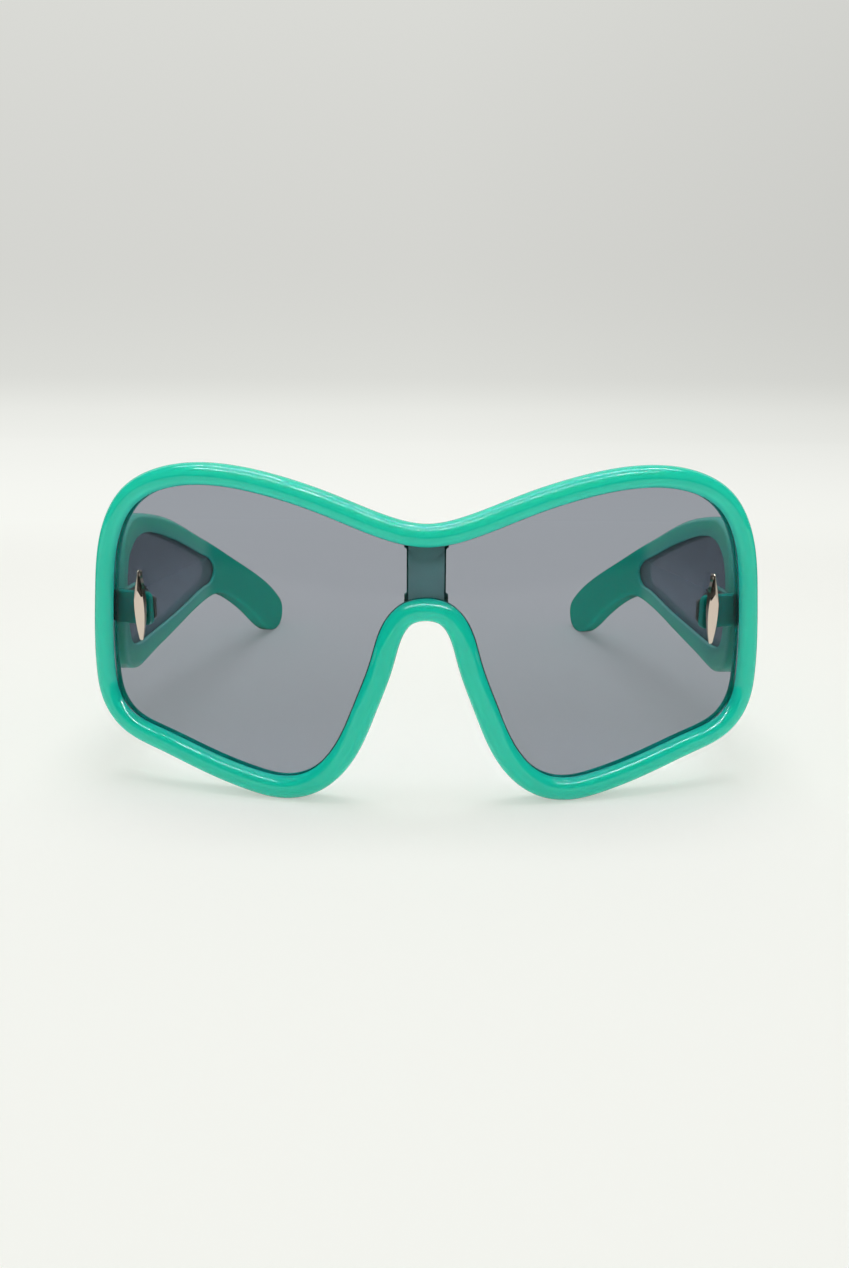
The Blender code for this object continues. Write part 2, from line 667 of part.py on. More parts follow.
def knuckle_mesh(side, span, foot):
    """A knuckle: a round barrel on the hinge axis, with a web back to the leaf at foot."""
    foot = Vector((foot[0] - HINGE_X, foot[1] - HINGE_Y))
    toward = math.atan2(foot.y, foot.x)
    loop = [(foot.x - KNUCKLE_WEB * math.sin(toward), foot.y + KNUCKLE_WEB * math.cos(toward))]
    spread = math.asin(KNUCKLE_WEB / KNUCKLE_RADIUS)
    for step in range(KNUCKLE_STEPS + 1):
        angle = toward + spread + (math.tau - 2.0 * spread) * step / KNUCKLE_STEPS
        loop.append((KNUCKLE_RADIUS * math.cos(angle), KNUCKLE_RADIUS * math.sin(angle)))
    loop.append((foot.x + KNUCKLE_WEB * math.sin(toward), foot.y - KNUCKLE_WEB * math.cos(toward)))
    mesh = flat_plate("knuckle", np.array(loop), span[0], span[1])
    mesh.transform(Matrix.Translation((HINGE_X, HINGE_Y, HINGE_HEIGHT)))
    return mirrored(mesh, side)


def bore_mesh(side):
    loop = circle_loop(KNUCKLE_BORE)
    mesh = flat_plate("bore", loop, -0.5 * LEAF_TALL - CUT_OVERRUN, 0.5 * LEAF_TALL + CUT_OVERRUN)
    mesh.transform(Matrix.Translation((HINGE_X, HINGE_Y, HINGE_HEIGHT)))
    return mirrored(mesh, side)


def front_leaf_plate(side):
    """The leaf behind the tab, flat against it, from its free end to beside the hinge axis."""
    middle = 0.5 * (FRONT_LEAF_START + FRONT_LEAF_END)
    half = 0.5 * (FRONT_LEAF_END - FRONT_LEAF_START)
    loop = rounded_box_loop((-half, -0.5 * LEAF_TALL), (half, 0.5 * LEAF_TALL), LEAF_CORNER)
    front = LENS_SETBACK - 2.0 * FIT_GAP - TAB_DEPTH
    mesh = flat_plate("front_leaf", loop, -LEAF_THICKNESS, 0.0)
    mesh.transform(wrap_matrix(middle, HINGE_HEIGHT, front))
    return mirrored(mesh, side)


def temple_leaf_faces():
    seat = -TEMPLE_TAB_RISE - FIT_GAP
    return seat - LEAF_THICKNESS, seat


def temple_leaf_plate(side):
    """The leaf on the temple's hinge tab."""
    end = TEMPLE_LEAF_START + TEMPLE_LEAF_LENGTH
    loop = rounded_box_loop((TEMPLE_LEAF_START, HINGE_HEIGHT - 0.5 * LEAF_TALL),
                            (end, HINGE_HEIGHT + 0.5 * LEAF_TALL), LEAF_CORNER)
    mesh = flat_plate("temple_leaf", loop, *temple_leaf_faces())
    return mirrored(bend(mesh, bow_temple), side)


def temple_place(along, height, proud):
    """A point of the left temple after bowing."""
    return Vector(bow_temple(np.array([[along, height, proud]]))[0])


def temple_matrix(along, height, proud):
    """The frame that is flat against the temple's inner face: x along, y up, z outward."""
    angle = TOE_IN + along / TEMPLE_BOW_RADIUS
    run = Vector((-math.sin(angle), math.cos(angle), 0.0))
    out = Vector((math.cos(angle), math.sin(angle), 0.0))
    turn = Matrix((run, (0.0, 0.0, 1.0), out)).transposed().to_4x4()
    return Matrix.Translation(temple_place(along, height, proud)) @ turn


def rivet_places():
    return [(name, TEMPLE_LEAF_START + share * TEMPLE_LEAF_LENGTH)
            for name, share in RIVET_PLACE_SHARES]


def side_lens_faces():
    return SIDE_LENS_SETBACK, SIDE_LENS_SETBACK + SIDE_LENS_THICKNESS


def rivet_hole_mesh(side, along):
    loop = circle_loop(RIVET_RADIUS + FIT_GAP)
    mesh = flat_plate("rivet_hole", loop, -CUT_OVERRUN, side_lens_faces()[0])
    mesh.transform(temple_matrix(along, HINGE_HEIGHT, 0.0))
    return mirrored(mesh, side)


def rivet_mesh(side, along):
    """A short rivet from the leaf into the temple's hinge tab."""
    end = side_lens_faces()[0] - 2.0 * FIT_GAP
    head = temple_leaf_faces()[0] - FIT_GAP
    top = head - RIVET_HEAD_DEPTH
    profile = [(0.0, end), (RIVET_RADIUS, end), (RIVET_RADIUS, head), (RIVET_HEAD_RADIUS, head),
               (HEAD_TOP_SHARE * RIVET_HEAD_RADIUS, top), (0.0, top)]
    mesh = turned_mesh("rivet", profile, TURN_STEPS)
    mesh.transform(temple_matrix(along, HINGE_HEIGHT, 0.0))
    return mirrored(mesh, side)


def screw_mesh(side):
    """The hinge screw: a slotted round head above the knuckles and a pin through them."""
    top = 0.5 * LEAF_TALL + FIT_GAP
    profile = [(0.0, top + SCREW_HEAD_DEPTH), (HEAD_TOP_SHARE * SCREW_HEAD_RADIUS, top + SCREW_HEAD_DEPTH),
               (SCREW_HEAD_RADIUS, top + 0.5 * SCREW_HEAD_DEPTH), (SCREW_HEAD_RADIUS, top),
               (PIN_RADIUS, top), (PIN_RADIUS, -0.5 * LEAF_TALL), (0.0, -0.5 * LEAF_TALL)]
    mesh = turned_mesh("screw", profile, HEAD_STEPS)
    mesh.transform(Matrix.Translation((HINGE_X, HINGE_Y, HINGE_HEIGHT)))
    return mirrored(mesh, side)


def slot_mesh(side):
    bm = bmesh.new()
    bmesh.ops.create_cube(bm, size=1.0)
    mesh = bpy.data.meshes.new("slot")
    bm.to_mesh(mesh)
    bm.free()
    length = 2.0 * (SCREW_HEAD_RADIUS + CUT_OVERRUN)
    mesh.transform(Matrix.Diagonal((length, SCREW_SLOT, SCREW_HEAD_DEPTH, 1.0)))
    top = 0.5 * LEAF_TALL + FIT_GAP + SCREW_HEAD_DEPTH
    mesh.transform(Matrix.Translation((HINGE_X, HINGE_Y, HINGE_HEIGHT + top)))
    return mirrored(mesh, side)


def build_hinge(side_name, side, parts, cutters, pivot):
    low, middle, high = knuckle_spans()
    bore = as_cutter(new_object(side_name + "_bore", bore_mesh(side), cutters))

    leaf = new_object(side_name + "_front_hinge_leaf", front_leaf_plate(side), parts, NICKEL)
    back = LENS_SETBACK - 2.0 * FIT_GAP - TAB_DEPTH - 0.5 * LEAF_THICKNESS
    foot = wrap_matrix(FRONT_LEAF_END - LEAF_CORNER, HINGE_HEIGHT, back).translation
    for name, span in (("lower", low), ("upper", high)):
        stock_name = side_name + "_" + name + "_knuckle_stock"
        stock = as_cutter(new_object(stock_name, knuckle_mesh(side, span, foot), cutters))
        boolean(leaf, stock, "UNION")
    boolean(leaf, bore, "DIFFERENCE")
    for name in ("upper", "lower"):
        boolean(leaf, bpy.data.objects[side_name + "_" + name + "_post_hole"], "DIFFERENCE")

    screw = new_object(side_name + "_hinge_screw", screw_mesh(side), parts, NICKEL)
    slot = as_cutter(new_object(side_name + "_screw_slot", slot_mesh(side), cutters))
    boolean(screw, slot, "DIFFERENCE")
    smooth(screw.data)

    name = side_name + "_temple_hinge_leaf"
    moving = new_object(name, temple_leaf_plate(side), parts, NICKEL)
    foot = temple_place(TEMPLE_LEAF_START + LEAF_CORNER, HINGE_HEIGHT, 0.5 * sum(temple_leaf_faces()))
    stock = new_object(side_name + "_middle_knuckle_stock", knuckle_mesh(side, middle, foot), cutters)
    boolean(moving, as_cutter(stock), "UNION")
    boolean(moving, bore, "DIFFERENCE")

    for place_name, along in rivet_places():
        name = side_name + "_" + place_name + "_rivet_hole"
        hole = as_cutter(new_object(name, rivet_hole_mesh(side, along), cutters))
        boolean(moving, hole, "DIFFERENCE")
        name = side_name + "_temple_" + place_name + "_rivet"
        rivet = new_object(name, rivet_mesh(side, along), parts, NICKEL)
        smooth(rivet.data)
        hang_on_pivot(rivet, pivot)
    hang_on_pivot(moving, pivot)


# Temples

def hang_on_pivot(obj, pivot):
    """Give a moving piece its origin on the hinge axis, as a child of the hinge's empty."""
    move_origin(obj, pivot.location)
    obj.location = (0.0, 0.0, 0.0)
    obj.parent = pivot


def build_temple(side_name, side, parts, cutters, floor, pivot):
    window = window_loop()
    outline = flat_plate("temple", temple_loop(), 0.0, TEMPLE_THICKNESS, TEMPLE_EDGE, 2, window)
    outline = mirrored(bend(outline, bow_temple, TEMPLE_SLICE), side)
    temple = new_object(side_name + "_temple", outline, parts, MINT)

    tab = rounded_box_loop((TEMPLE_TAB_START, HINGE_HEIGHT - 0.5 * TEMPLE_TAB_TALL),
                           (TEMPLE_TAB_START + TEMPLE_TAB_LENGTH, HINGE_HEIGHT + 0.5 * TEMPLE_TAB_TALL),
                           TAB_CORNER)
    low, high = side_lens_faces()
    tab = mirrored(bend(flat_plate("temple_tab", tab, -TEMPLE_TAB_RISE, low), bow_temple), side)
    boolean(temple, as_cutter(new_object(side_name + "_temple_tab_stock", tab, cutters)), "UNION")

    seat = offset_loop(window, SIDE_LENS_BITE + FIT_GAP)
    seat = flat_plate("side_seat", seat, low - FIT_GAP, high + FIT_GAP)
    seat = mirrored(bend(seat, bow_temple, TEMPLE_SLICE, 0.5), side)
    boolean(temple, as_cutter(new_object(side_name + "_side_lens_seat", seat, cutters)), "DIFFERENCE")
    for place_name, along in rivet_places():
        boolean(temple, bpy.data.objects[side_name + "_" + place_name + "_rivet_hole"], "DIFFERENCE")
    boolean(temple, floor, "DIFFERENCE")
    smooth(temple.data)

    glass = flat_plate("side_lens", offset_loop(window, SIDE_LENS_BITE), low, high)
    glass = mirrored(bend(glass, bow_temple, TEMPLE_SLICE), side)
    glass = new_object(side_name + "_side_lens", glass, parts, SMOKE)
    smooth(glass.data)
    for obj in (temple, glass):
        hang_on_pivot(obj, pivot)


def new_pivot(side_name, side, parts):
    pivot = bpy.data.objects.new(side_name + "_hinge_axis", None)
    pivot.location = (side * HINGE_X, HINGE_Y, HINGE_HEIGHT)
    pivot.empty_display_size = TEMPLE_THICKNESS
    parts.objects.link(pivot)
    return pivot


def main():
    clear_scene()
    parts = new_collection("shield_sunglasses")
    cutters = new_collection("cutters")
    floor = as_cutter(new_object("floor_block", floor_mesh(), cutters))
    build_front(parts, cutters, floor)
    build_plaques(parts, cutters)
    for side_name, side in SIDES.items():
        pivot = new_pivot(side_name, side, parts)
        build_hinge(side_name, side, parts, cutters, pivot)
        build_temple(side_name, side, parts, cutters, floor, pivot)


if __name__ == "__main__":
    main()
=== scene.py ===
"""Oversized shield sunglasses in milky mint acetate, dressed round their CAD frame.

Everything is in metres, +Z up, in the frame of the CAD: the front faces -Y, the temples run
back along +Y, and the wearer's left is at +X. A shape is drawn flat first, as (along, height,
proud), and then bent: the front round an upright cylinder, each temple along a long arc.
"""

import json
import math

import bmesh
import bpy
import numpy as np
from bpy.props import FloatProperty, PointerProperty, StringProperty
from mathutils import Matrix, Vector


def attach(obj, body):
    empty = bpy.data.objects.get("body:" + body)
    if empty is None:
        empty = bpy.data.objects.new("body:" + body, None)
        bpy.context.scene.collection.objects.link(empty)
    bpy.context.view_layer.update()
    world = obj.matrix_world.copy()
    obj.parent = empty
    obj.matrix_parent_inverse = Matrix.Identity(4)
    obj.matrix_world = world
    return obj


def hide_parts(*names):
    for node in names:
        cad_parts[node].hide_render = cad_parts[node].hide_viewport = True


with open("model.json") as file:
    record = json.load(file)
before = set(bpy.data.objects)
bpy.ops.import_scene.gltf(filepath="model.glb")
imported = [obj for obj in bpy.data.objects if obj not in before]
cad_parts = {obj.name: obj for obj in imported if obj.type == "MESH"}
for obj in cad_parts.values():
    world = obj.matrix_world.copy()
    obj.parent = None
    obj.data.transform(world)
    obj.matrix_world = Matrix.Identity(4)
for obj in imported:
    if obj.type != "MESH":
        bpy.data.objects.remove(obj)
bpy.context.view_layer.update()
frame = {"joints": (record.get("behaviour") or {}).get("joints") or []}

bl_info = {
    "name": "Shield sunglasses",
    "version": (1, 0, 0),
    "blender": (4, 5, 0),
    "location": "3D View > Sidebar > Sunglasses",
    "description": "Models oversized shield sunglasses and the white table they stand on",
    "category": "Object",
}

# The left hinge's axis, and before it, in y: the temples' front ends, the middle of the surface
# that the front wraps, and the edge where the table ends for polished faces
HINGE = {joint["child"]: Vector(joint["pos_m"]) for joint in frame["joints"]}["left_arm"]
TEMPLE_Y = HINGE.y - 0.0017
FRONT_Y = HINGE.y - 0.020495
TABLE_EDGE_Y = FRONT_Y - 0.202
SIDES = {"left": 1.0, "right": -1.0}
WELD = 1e-7
# Between two pieces that touch in the real object, and how far one shell is sunk in the next
CLEARANCE = 0.0003
SINK = 0.00002

# The middle line of the rim, in thousandths of its half reach and its rise, from the top middle
# round the wearer's left to the crown of the nose arch
RIM_SHARES = np.array((
    (0, 829), (125, 857), (270, 918), (428, 971), (620, 1000), (774, 976), (873, 917), (948, 790),
    (984, 592), (1000, 343), (987, 247), (945, 180), (812, 118), (654, 60), (519, 16), (429, 0),
    (345, 18), (274, 75), (222, 157), (172, 286), (124, 432), (94, 535), (56, 587), (0, 603),
)) / 1000.0
# A temple's outline from its hinge end over the top to the tip and back under, and the
# window in it, in thousandths of its length and height
TEMPLE_SHARES = np.array((
    (0, 560), (1, 690), (13, 835), (38, 945), (84, 996), (138, 989), (211, 956), (291, 903),
    (393, 814), (503, 716), (612, 611), (721, 504), (816, 406), (903, 303), (965, 211), (1000, 114),
    (987, 31), (954, 0), (915, 8), (859, 60), (790, 161), (721, 259), (648, 347), (583, 410),
    (521, 446), (452, 453), (350, 437), (219, 408), (102, 386), (44, 388), (12, 436),
)) / 1000.0
WINDOW_SHARES = np.array((
    (26, 600), (29, 722), (46, 834), (80, 893), (138, 906), (218, 867), (297, 810), (377, 742),
    (450, 677), (491, 634), (507, 586), (494, 541), (454, 524), (350, 505), (240, 486), (131, 478),
    (68, 480), (36, 506),
)) / 1000.0
# Places in those two outlines, counted in knots: where the neck starts above and below, the
# middle of the tip, and the window's rear corner
NECK_TOP_KNOT = 9.6
NECK_BOTTOM_KNOT = 24.0
TIP_KNOT = 15.6
WINDOW_REAR_KNOT = 10.0
# The spine of the arm's faces runs over this share of the arm
SPINE_SHARE = 0.94
# The share of a half turn that the rim's section is drawn over, before its groove
SECTION_TURN = 0.97
# Painted shade of points on the front: at the groove's front lip, its floor's front and back, and
# its back lip; on the rim where the lip begins; and on the hinge tabs
GROOVE_PAINTED_SHADE = (1.1, 1.02, 0.93, 0.9)
LIP_PAINTED_SHADE = 1.08
TAB_PAINTED_SHADE = 0.94
# How much further forward the lip's painted shade reaches where the wall faces away from the middle
NOSE_PAINTED_SHADE_REACH = 0.0007
# Where in that value the painted light on the acetate starts and is full, or where its painted
# shade starts and is full; and the same for the bar's painted shade on its sides, from its edge
PAINTED_LIGHT_WALL = (-0.85, -0.25)
PAINTED_SHADE_WALL = (0.92, 1.08)
BAR_PAINTED_SHADE = (0.00045, 0.00030)
# The plaque's half outline, from the top down, in thousandths of its half width and its height
PLAQUE_SHARES = np.array((
    (100, 500), (300, 440), (550, 340), (800, 210), (960, 80), (1000, -20), (960, -140),
    (820, -270), (640, -370), (440, -450), (200, -495),
)) / 1000.0
# How its face falls along x and y from the point: to the foot, on the outer and the inner side
PLAQUE_PLANES = ((0.0, 0.09), (-0.36, -0.062), (0.23, -0.062))
# Its edge as insets and levels: against the face's end, and against the lens
PLAQUE_BEVEL = ((0.00028, 0.0), (0.00004, -0.0002), (0.0, -0.00026))
PLAQUE_FOOT = ((0.0, 0.00008), (0.00008, 0.0))
# Corners of the hinge tabs and of the leaves, a leaf's rounded edge, the share of the front
# leaf's height that each of its knuckles takes, the rivets' places along the temple's leaf, and
# the radius of their shanks
TAB_CORNER = 0.0014
LEAF_CORNER = 0.0009
LEAF_EDGE = 0.00015
KNUCKLE_SHARE = 0.30
RIVET_SHARES = (0.48, 0.83)
RIVET_SHANK = 0.00055
# How strongly the acetate and the coated lenses bend light, and how deep their skin's waves are
ACETATE_IOR = 1.48
COATED_IOR = 1.2
WAVE_DEPTH = 0.0002
# The sweep: its bend, its back, its height and half its width. Its colours from the near table
# to the top of the backdrop, which are painted light and shade, and the share of them that the
# near table has, which lightens the object's shadow there with painted light
SWEEP_RADIUS = 0.12
BACK_Y = 1.30
SWEEP_TALL = 2.2
SWEEP_HALF = 2.5
BACKDROP_PAINTED_FALLOFF_STOPS = (
    (0.03, "#f7f8f2"), (0.15, "#f6f7f2"), (0.27, "#f2f3ee"), (0.42, "#f0f1ec"),
    (0.49, "#eaebe6"), (0.53, "#dadbd6"), (0.65, "#d1d1cd"), (0.94, "#dfe0db"),
)
NEAR_SHARE = 0.45
# The soft box, and the rows of small lamps: their middles, length and width, their number and
# the share of its place that each lights
SOFT_BOX_HEIGHT = 0.70
SOFT_BOX_SIDE = 0.35
SOFT_BOX_WATTS = 2.05
LAMP_ROWS = {"overhead_row": (0.0, FRONT_Y + 0.07, 0.56), "front_row": (0.0, FRONT_Y - 0.30, 0.46)}
ROW_LENGTH = 0.95
ROW_WIDTH = 0.05
ROW_WATTS = 9.0
ROW_LAMPS = 80.0
LIT_SHARE = 0.4
# The camera: its distance from the front, its height, and its yaw, pitch and roll in degrees
CAMERA_AWAY = 0.189
CAMERA_HEIGHT = 0.0882
CAMERA_TURNS = (0.09, 75.0, 0.35)


# Kinds of properties: lengths in metres, angles given in degrees, shares and sRGB hex colours

def distance(name, description, default):
    return FloatProperty(name=name, description=description, default=default,
                         subtype="DISTANCE", unit="LENGTH", precision=5)


def angle(name, description, degrees):
    return FloatProperty(name=name, description=description, default=math.radians(degrees),
                         subtype="ANGLE", unit="ROTATION")


def share(name, description, default):
    return FloatProperty(name=name, description=description, default=default,
                         subtype="FACTOR", min=0.0, max=1.0)


def colour(name, description, default):
    return StringProperty(name=name, description=description, default=default)


class SunglassesFront(bpy.types.PropertyGroup):
    """Sizes of the front: the rim, the shield lens, the bar and the hinge tabs."""
    width: distance("Width", "Between the middles of the rim's sides, round the wrap", 0.1468)
    rise: distance("Rise", "Height of the rim's middle line", 0.0669)
    wrap_radius: distance("Wrap radius", "Radius of the cylinder that the front wraps", 0.170)
    rim_width: distance("Rim width", "Width of the rim at its bottom", 0.0054)
    rim_depth: distance("Rim depth", "Depth of the rim from front to back", 0.0056)
    rim_top: share("Rim top", "How thick the rim is at its top, against its bottom", 0.85)
    squareness: FloatProperty(name="Squareness", description="2 is an oval section", default=2.3)
    lens_thickness: distance("Lens thickness", "Thickness of the shield lens", 0.0018)
    lens_back: distance("Lens back", "Back of the lens behind the wrap surface", -0.0013)
    bite: distance("Bite", "How deep the lens sits in the rim", 0.0010)
    fit: distance("Fit", "Gap round the lens", 0.0003)
    bar_width: distance("Bar width", "Width of the bar behind the lens", 0.0081)
    bar_depth: distance("Bar depth", "Depth of the bar behind the lens", 0.0014)
    bar_flare: distance("Bar flare", "How much the bar widens where it meets the rim", 0.0005)
    tab_inner: distance("Tab inner end", "Inner end of the hinge tab", 0.0619)
    tab_outer: distance("Tab outer end", "Outer end of the hinge tab, in the rim", 0.0722)
    tab_tall: distance("Tab height", "Height of the hinge tab", 0.0074)
    tab_depth: distance("Tab depth", "Depth of the hinge tab", 0.0015)
    rest: distance("Rest flat", "How much the rim is flattened where it stands", 0.0002)


class SunglassesTemple(bpy.types.PropertyGroup):
    """Sizes of the temples and the lenses in their windows."""
    length: distance("Length", "Length along the inner face", 0.1373)
    height: distance("Height", "Height from the tip to the top", 0.0577)
    thickness: distance("Thickness", "Thickness at the window", 0.0050)
    tip_thickness: distance("Tip thickness", "Thickness at the tip", 0.0041)
    edge: distance("Edge", "Radius of the rounded edges", 0.0011)
    window_edge: distance("Window edge", "Radius of the window's edges", 0.0005)
    bow_radius: distance("Bow radius", "Radius of the bow along the temple", 1.100)
    toe_in: angle("Toe in", "How far the temples lean together from the hinge", 2.5)
    face_x: distance("Face", "Inner face at the hinge end, from the middle", HINGE.x + 0.0037)
    taper_from: share("Taper start", "Where along the length it starts to thin", 0.50)
    lens_thickness: distance("Lens thickness", "Thickness of the side lens", 0.0016)
    lens_setback: distance("Lens setback", "From the inner face to the side lens", 0.0010)
    bite: distance("Bite", "How deep the side lens sits", 0.0010)
    tab_start: distance("Tab start", "Front end of the hinge tab", 0.0016)
    tab_length: distance("Tab length", "Length of the hinge tab", 0.0090)
    tab_tall: distance("Tab height", "Height of the hinge tab", 0.0056)
    tab_rise: distance("Tab rise", "How far the tab stands inwards", 0.0004)


class SunglassesPlaque(bpy.types.PropertyGroup):
    """Sizes of the faceted metal plaques and their posts."""
    place: distance("Place", "From the middle of the front, round the wrap", 0.0625)
    rise: distance("Rise", "Above the hinge's height", 0.0013)
    lean: angle("Lean", "The plaque's lean, as the side of the rim", 4.0)
    tall: distance("Height", "Height of the plaque", 0.0158)
    wide: distance("Width", "Width of the plaque", 0.0026)
    depth: distance("Depth", "Height of the point where the facets meet", 0.0015)
    point: distance("Point", "The point's place above the middle", 0.0036)
    post_radius: distance("Post radius", "Radius of a post", 0.00045)
    post_out: distance("Post place", "The posts' place outwards of the middle", 0.0006)
    post_spacing: distance("Post spacing", "Distance between the two posts", 0.0030)
    head_radius: distance("Head radius", "Radius of a post's peened head", 0.0008)
    head_depth: distance("Head depth", "Height of a post's peened head", 0.0005)


class SunglassesHinge(bpy.types.PropertyGroup):
    """Sizes of the hinges."""
    leaf_thickness: distance("Leaf thickness", "Thickness of a leaf", 0.0008)
    leaf_tall: distance("Leaf height", "Height of a leaf", 0.0052)
    front_start: distance("Front leaf start", "Inner end of the front leaf", 0.0621)
    front_end: distance("Front leaf end", "Outer end of the front leaf", 0.0684)
    temple_start: distance("Temple leaf start", "Front end of the temple leaf", 0.0010)
    temple_end: distance("Temple leaf end", "Rear end of the temple leaf", 0.0085)
    knuckle_radius: distance("Knuckle radius", "Radius of a knuckle", 0.0017)
    bore: distance("Bore", "Radius of the hole for the pin", 0.0009)
    web: distance("Web", "Half thickness of the web to a knuckle", 0.0007)
    pin_radius: distance("Pin radius", "Radius of the screw's pin", 0.0006)
    head_radius: distance("Head radius", "Radius of the screw's head", 0.0013)
    head_depth: distance("Head depth", "Height of the screw's head", 0.0006)
    slot: distance("Slot", "Width of the screw's slot", 0.0004)
    rivet_radius: distance("Rivet radius", "Radius of a rivet's head", 0.0010)
    rivet_depth: distance("Rivet depth", "Height of a rivet's head", 0.0004)


class SunglassesFinish(bpy.types.PropertyGroup):
    """Colours, as sRGB hex values."""
    mint: colour("Mint", "The acetate's own colour", "#05d2b6")
    milk: colour("Milk", "Where the acetate is cloudier", "#24dabf")
    # Partly painted light: the light behind the bar really shines through it, and this much lighter
    # tint adds painted light
    thin_mint_painted_light: colour("Thin mint", "The acetate where it is thin and lit through", "#c6fae6")
    smoke: colour("Smoke", "What the shield lens lets through", "#a0a4ae")
    # Painted shade at the shield's foot
    foot_painted_shade_smoke: colour("Low smoke", "The same at its foot", "#979ba4")
    side_smoke: colour("Side smoke", "What the darker side lenses let through", "#919ba8")
    # Painted light at the side lenses' foot, where the white table shows through
    foot_painted_light_side_smoke: colour("Low side smoke", "The same at their foot", "#aab5c2")
    # Painted light: the temples' front part, round their windows, is painted this lighter tint
    pale: colour("Pale", "The acetate round the temples' windows, where it is milkiest", "#7bf2d6")
    # Painted light: the top of the front is painted this lighter tint for the light from above
    painted_top_light: colour("Top mint", "The acetate along the top of the front, lit through from above",
                     "#2ce2c4")
    gold: colour("Pale gold", "The plaques' plating", "#d6c7ba")
    nickel: colour("Nickel silver", "The hinges' metal", "#85827b")
    table: colour("Table", "The white table", "#fbfbf8")
    wall: colour("Wall", "The backdrop above the table's far edge", "#d6d7d2")
    # Painted shade: the rim's inner wall beside the lens, and a little of the hinge tabs, are
    # painted this colour
    shade: colour("Shade", "The rim's inner wall beside the lens, in its shade", "#023f38")
    room: colour("Room", "The dark room behind the camera, seen in polished faces", "#191b19")
    # Painted shade on the bar's sides
    bar_side_painted_shade: colour("Bar side", "The bar's sides, seen along its depth", "#0a5a48")
    tent: colour("Tent", "The studio's walls, which light the object", "#d6d7d3")
    open_tent: colour("Open tent", "The same in front, where the tent is brightest", "#fffffc")
    hall: colour("Hall", "The table behind the object, seen in polished faces", "#55564f")
    roof: colour("Roof", "The ceiling between the lamps, seen in polished faces", "#7d7f7b")


GROUPS = {"sunglasses_front": SunglassesFront, "sunglasses_temple": SunglassesTemple,
          "sunglasses_plaque": SunglassesPlaque, "sunglasses_hinge": SunglassesHinge,
          "sunglasses_finish": SunglassesFinish}


def chosen(group):
    """The panel's values for one group, such as front or finish."""
    return getattr(bpy.context.scene, "sunglasses_" + group)


def add_object(name, data):
    """A new object in the scene."""
    made = bpy.data.objects.new(name, data)
    bpy.context.scene.collection.objects.link(made)
    return made


# Meshes from grids of points

def grid_quads(rows, columns, close_rows, close_columns):
    """The quads between neighbours of a grid of points; a closed direction joins last to first."""
    i, j = np.mgrid[:rows - (not close_rows), :columns - (not close_columns)]
    down, right = (i + 1) % rows, (j + 1) % columns
    return np.stack([i * columns + j, down * columns + j, down * columns + right,
                     i * columns + right], axis=-1).reshape(-1, 4)


def grid_shell(points, close_rows=False, close_columns=False):
    """A shell from an array of rows, columns and x, y, z."""
    rows, columns = points.shape[:2]
    return points.reshape(-1, 3), grid_quads(rows, columns, close_rows, close_columns)


def bent(points, rule):
    """Every point of a grid moved by a rule."""
    return rule(points.reshape(-1, 3)).reshape(points.shape)


def mirrored(shells, side):
    """The shells on the wearer's left, or their mirror image on the right."""
    return [(points * np.array([side, 1.0, 1.0]), quads) for points, quads in shells]


def make_piece(name, shells, material, body, nodes=(), smooth_deg=40.0, shade=None):
    """One mesh object from shells: joined, welded where shells or poles meet, and faced outwards.
    shade gives a value for each point, kept as an attribute for the material; nodes are the CAD
    objects that the piece stands for."""
    counts = np.cumsum([0] + [len(points) for points, _ in shells])
    points = np.vstack([points for points, _ in shells])
    quads = np.vstack([quads + start for (_, quads), start in zip(shells, counts)])
    mesh = bpy.data.meshes.new(name)
    mesh.vertices.add(len(points))
    mesh.vertices.foreach_set("co", points.ravel())
    mesh.loops.add(quads.size)
    mesh.loops.foreach_set("vertex_index", quads.ravel())
    mesh.polygons.add(len(quads))
    mesh.polygons.foreach_set("loop_start", np.arange(0, quads.size, 4))
    mesh.update(calc_edges=True)
    if shade is not None:
        mesh.attributes.new("shade", "FLOAT", "POINT").data.foreach_set("value", shade)
    bm = bmesh.new()
    bm.from_mesh(mesh)
    bmesh.ops.remove_doubles(bm, verts=bm.verts, dist=WELD)
    bmesh.ops.dissolve_degenerate(bm, dist=WELD, edges=bm.edges)
    bmesh.ops.recalc_face_normals(bm, faces=bm.faces)
    bm.to_mesh(mesh)
    bm.free()
    mesh.shade_smooth()
    mesh.set_sharp_from_angle(angle=math.radians(smooth_deg))
    mesh.materials.append(material)
    piece = add_object(name, mesh)
    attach(piece, body)
    if nodes:
        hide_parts(*nodes)


# Flat drawing

def spline(knots, places):
    """A closed curve through the knots with an even bend, at places counted in knots.

    Between two knots the curve is their straight line plus a cubic arch, whose second
    derivatives at the knots come from one linear system that makes the slope continuous.
    """
    knots = np.asarray(knots, dtype=float)
    number = len(knots)
    after = np.roll(knots, -1, axis=0)
    spans = np.linalg.norm(after - knots, axis=1)
    before = np.roll(spans, 1)
    here = np.arange(number)
    system = np.zeros((number, number))
    system[here, here - 1] = before
    system[here, here] = 2.0 * (before + spans)
    system[here, (here + 1) % number] = spans
    rise = (after - knots) / spans[:, None]
    bend = np.linalg.solve(system, 6.0 * (rise - np.roll(rise, 1, axis=0)))
    k = np.floor(places).astype(int) % number
    t = (np.asarray(places) % 1.0)[:, None]
    s = 1.0 - t
    arch = (s ** 3 - s) * bend[k] + (t ** 3 - t) * bend[(k + 1) % number]
    return s * knots[k] + t * after[k] + arch * (spans[k] ** 2)[:, None] / 6.0


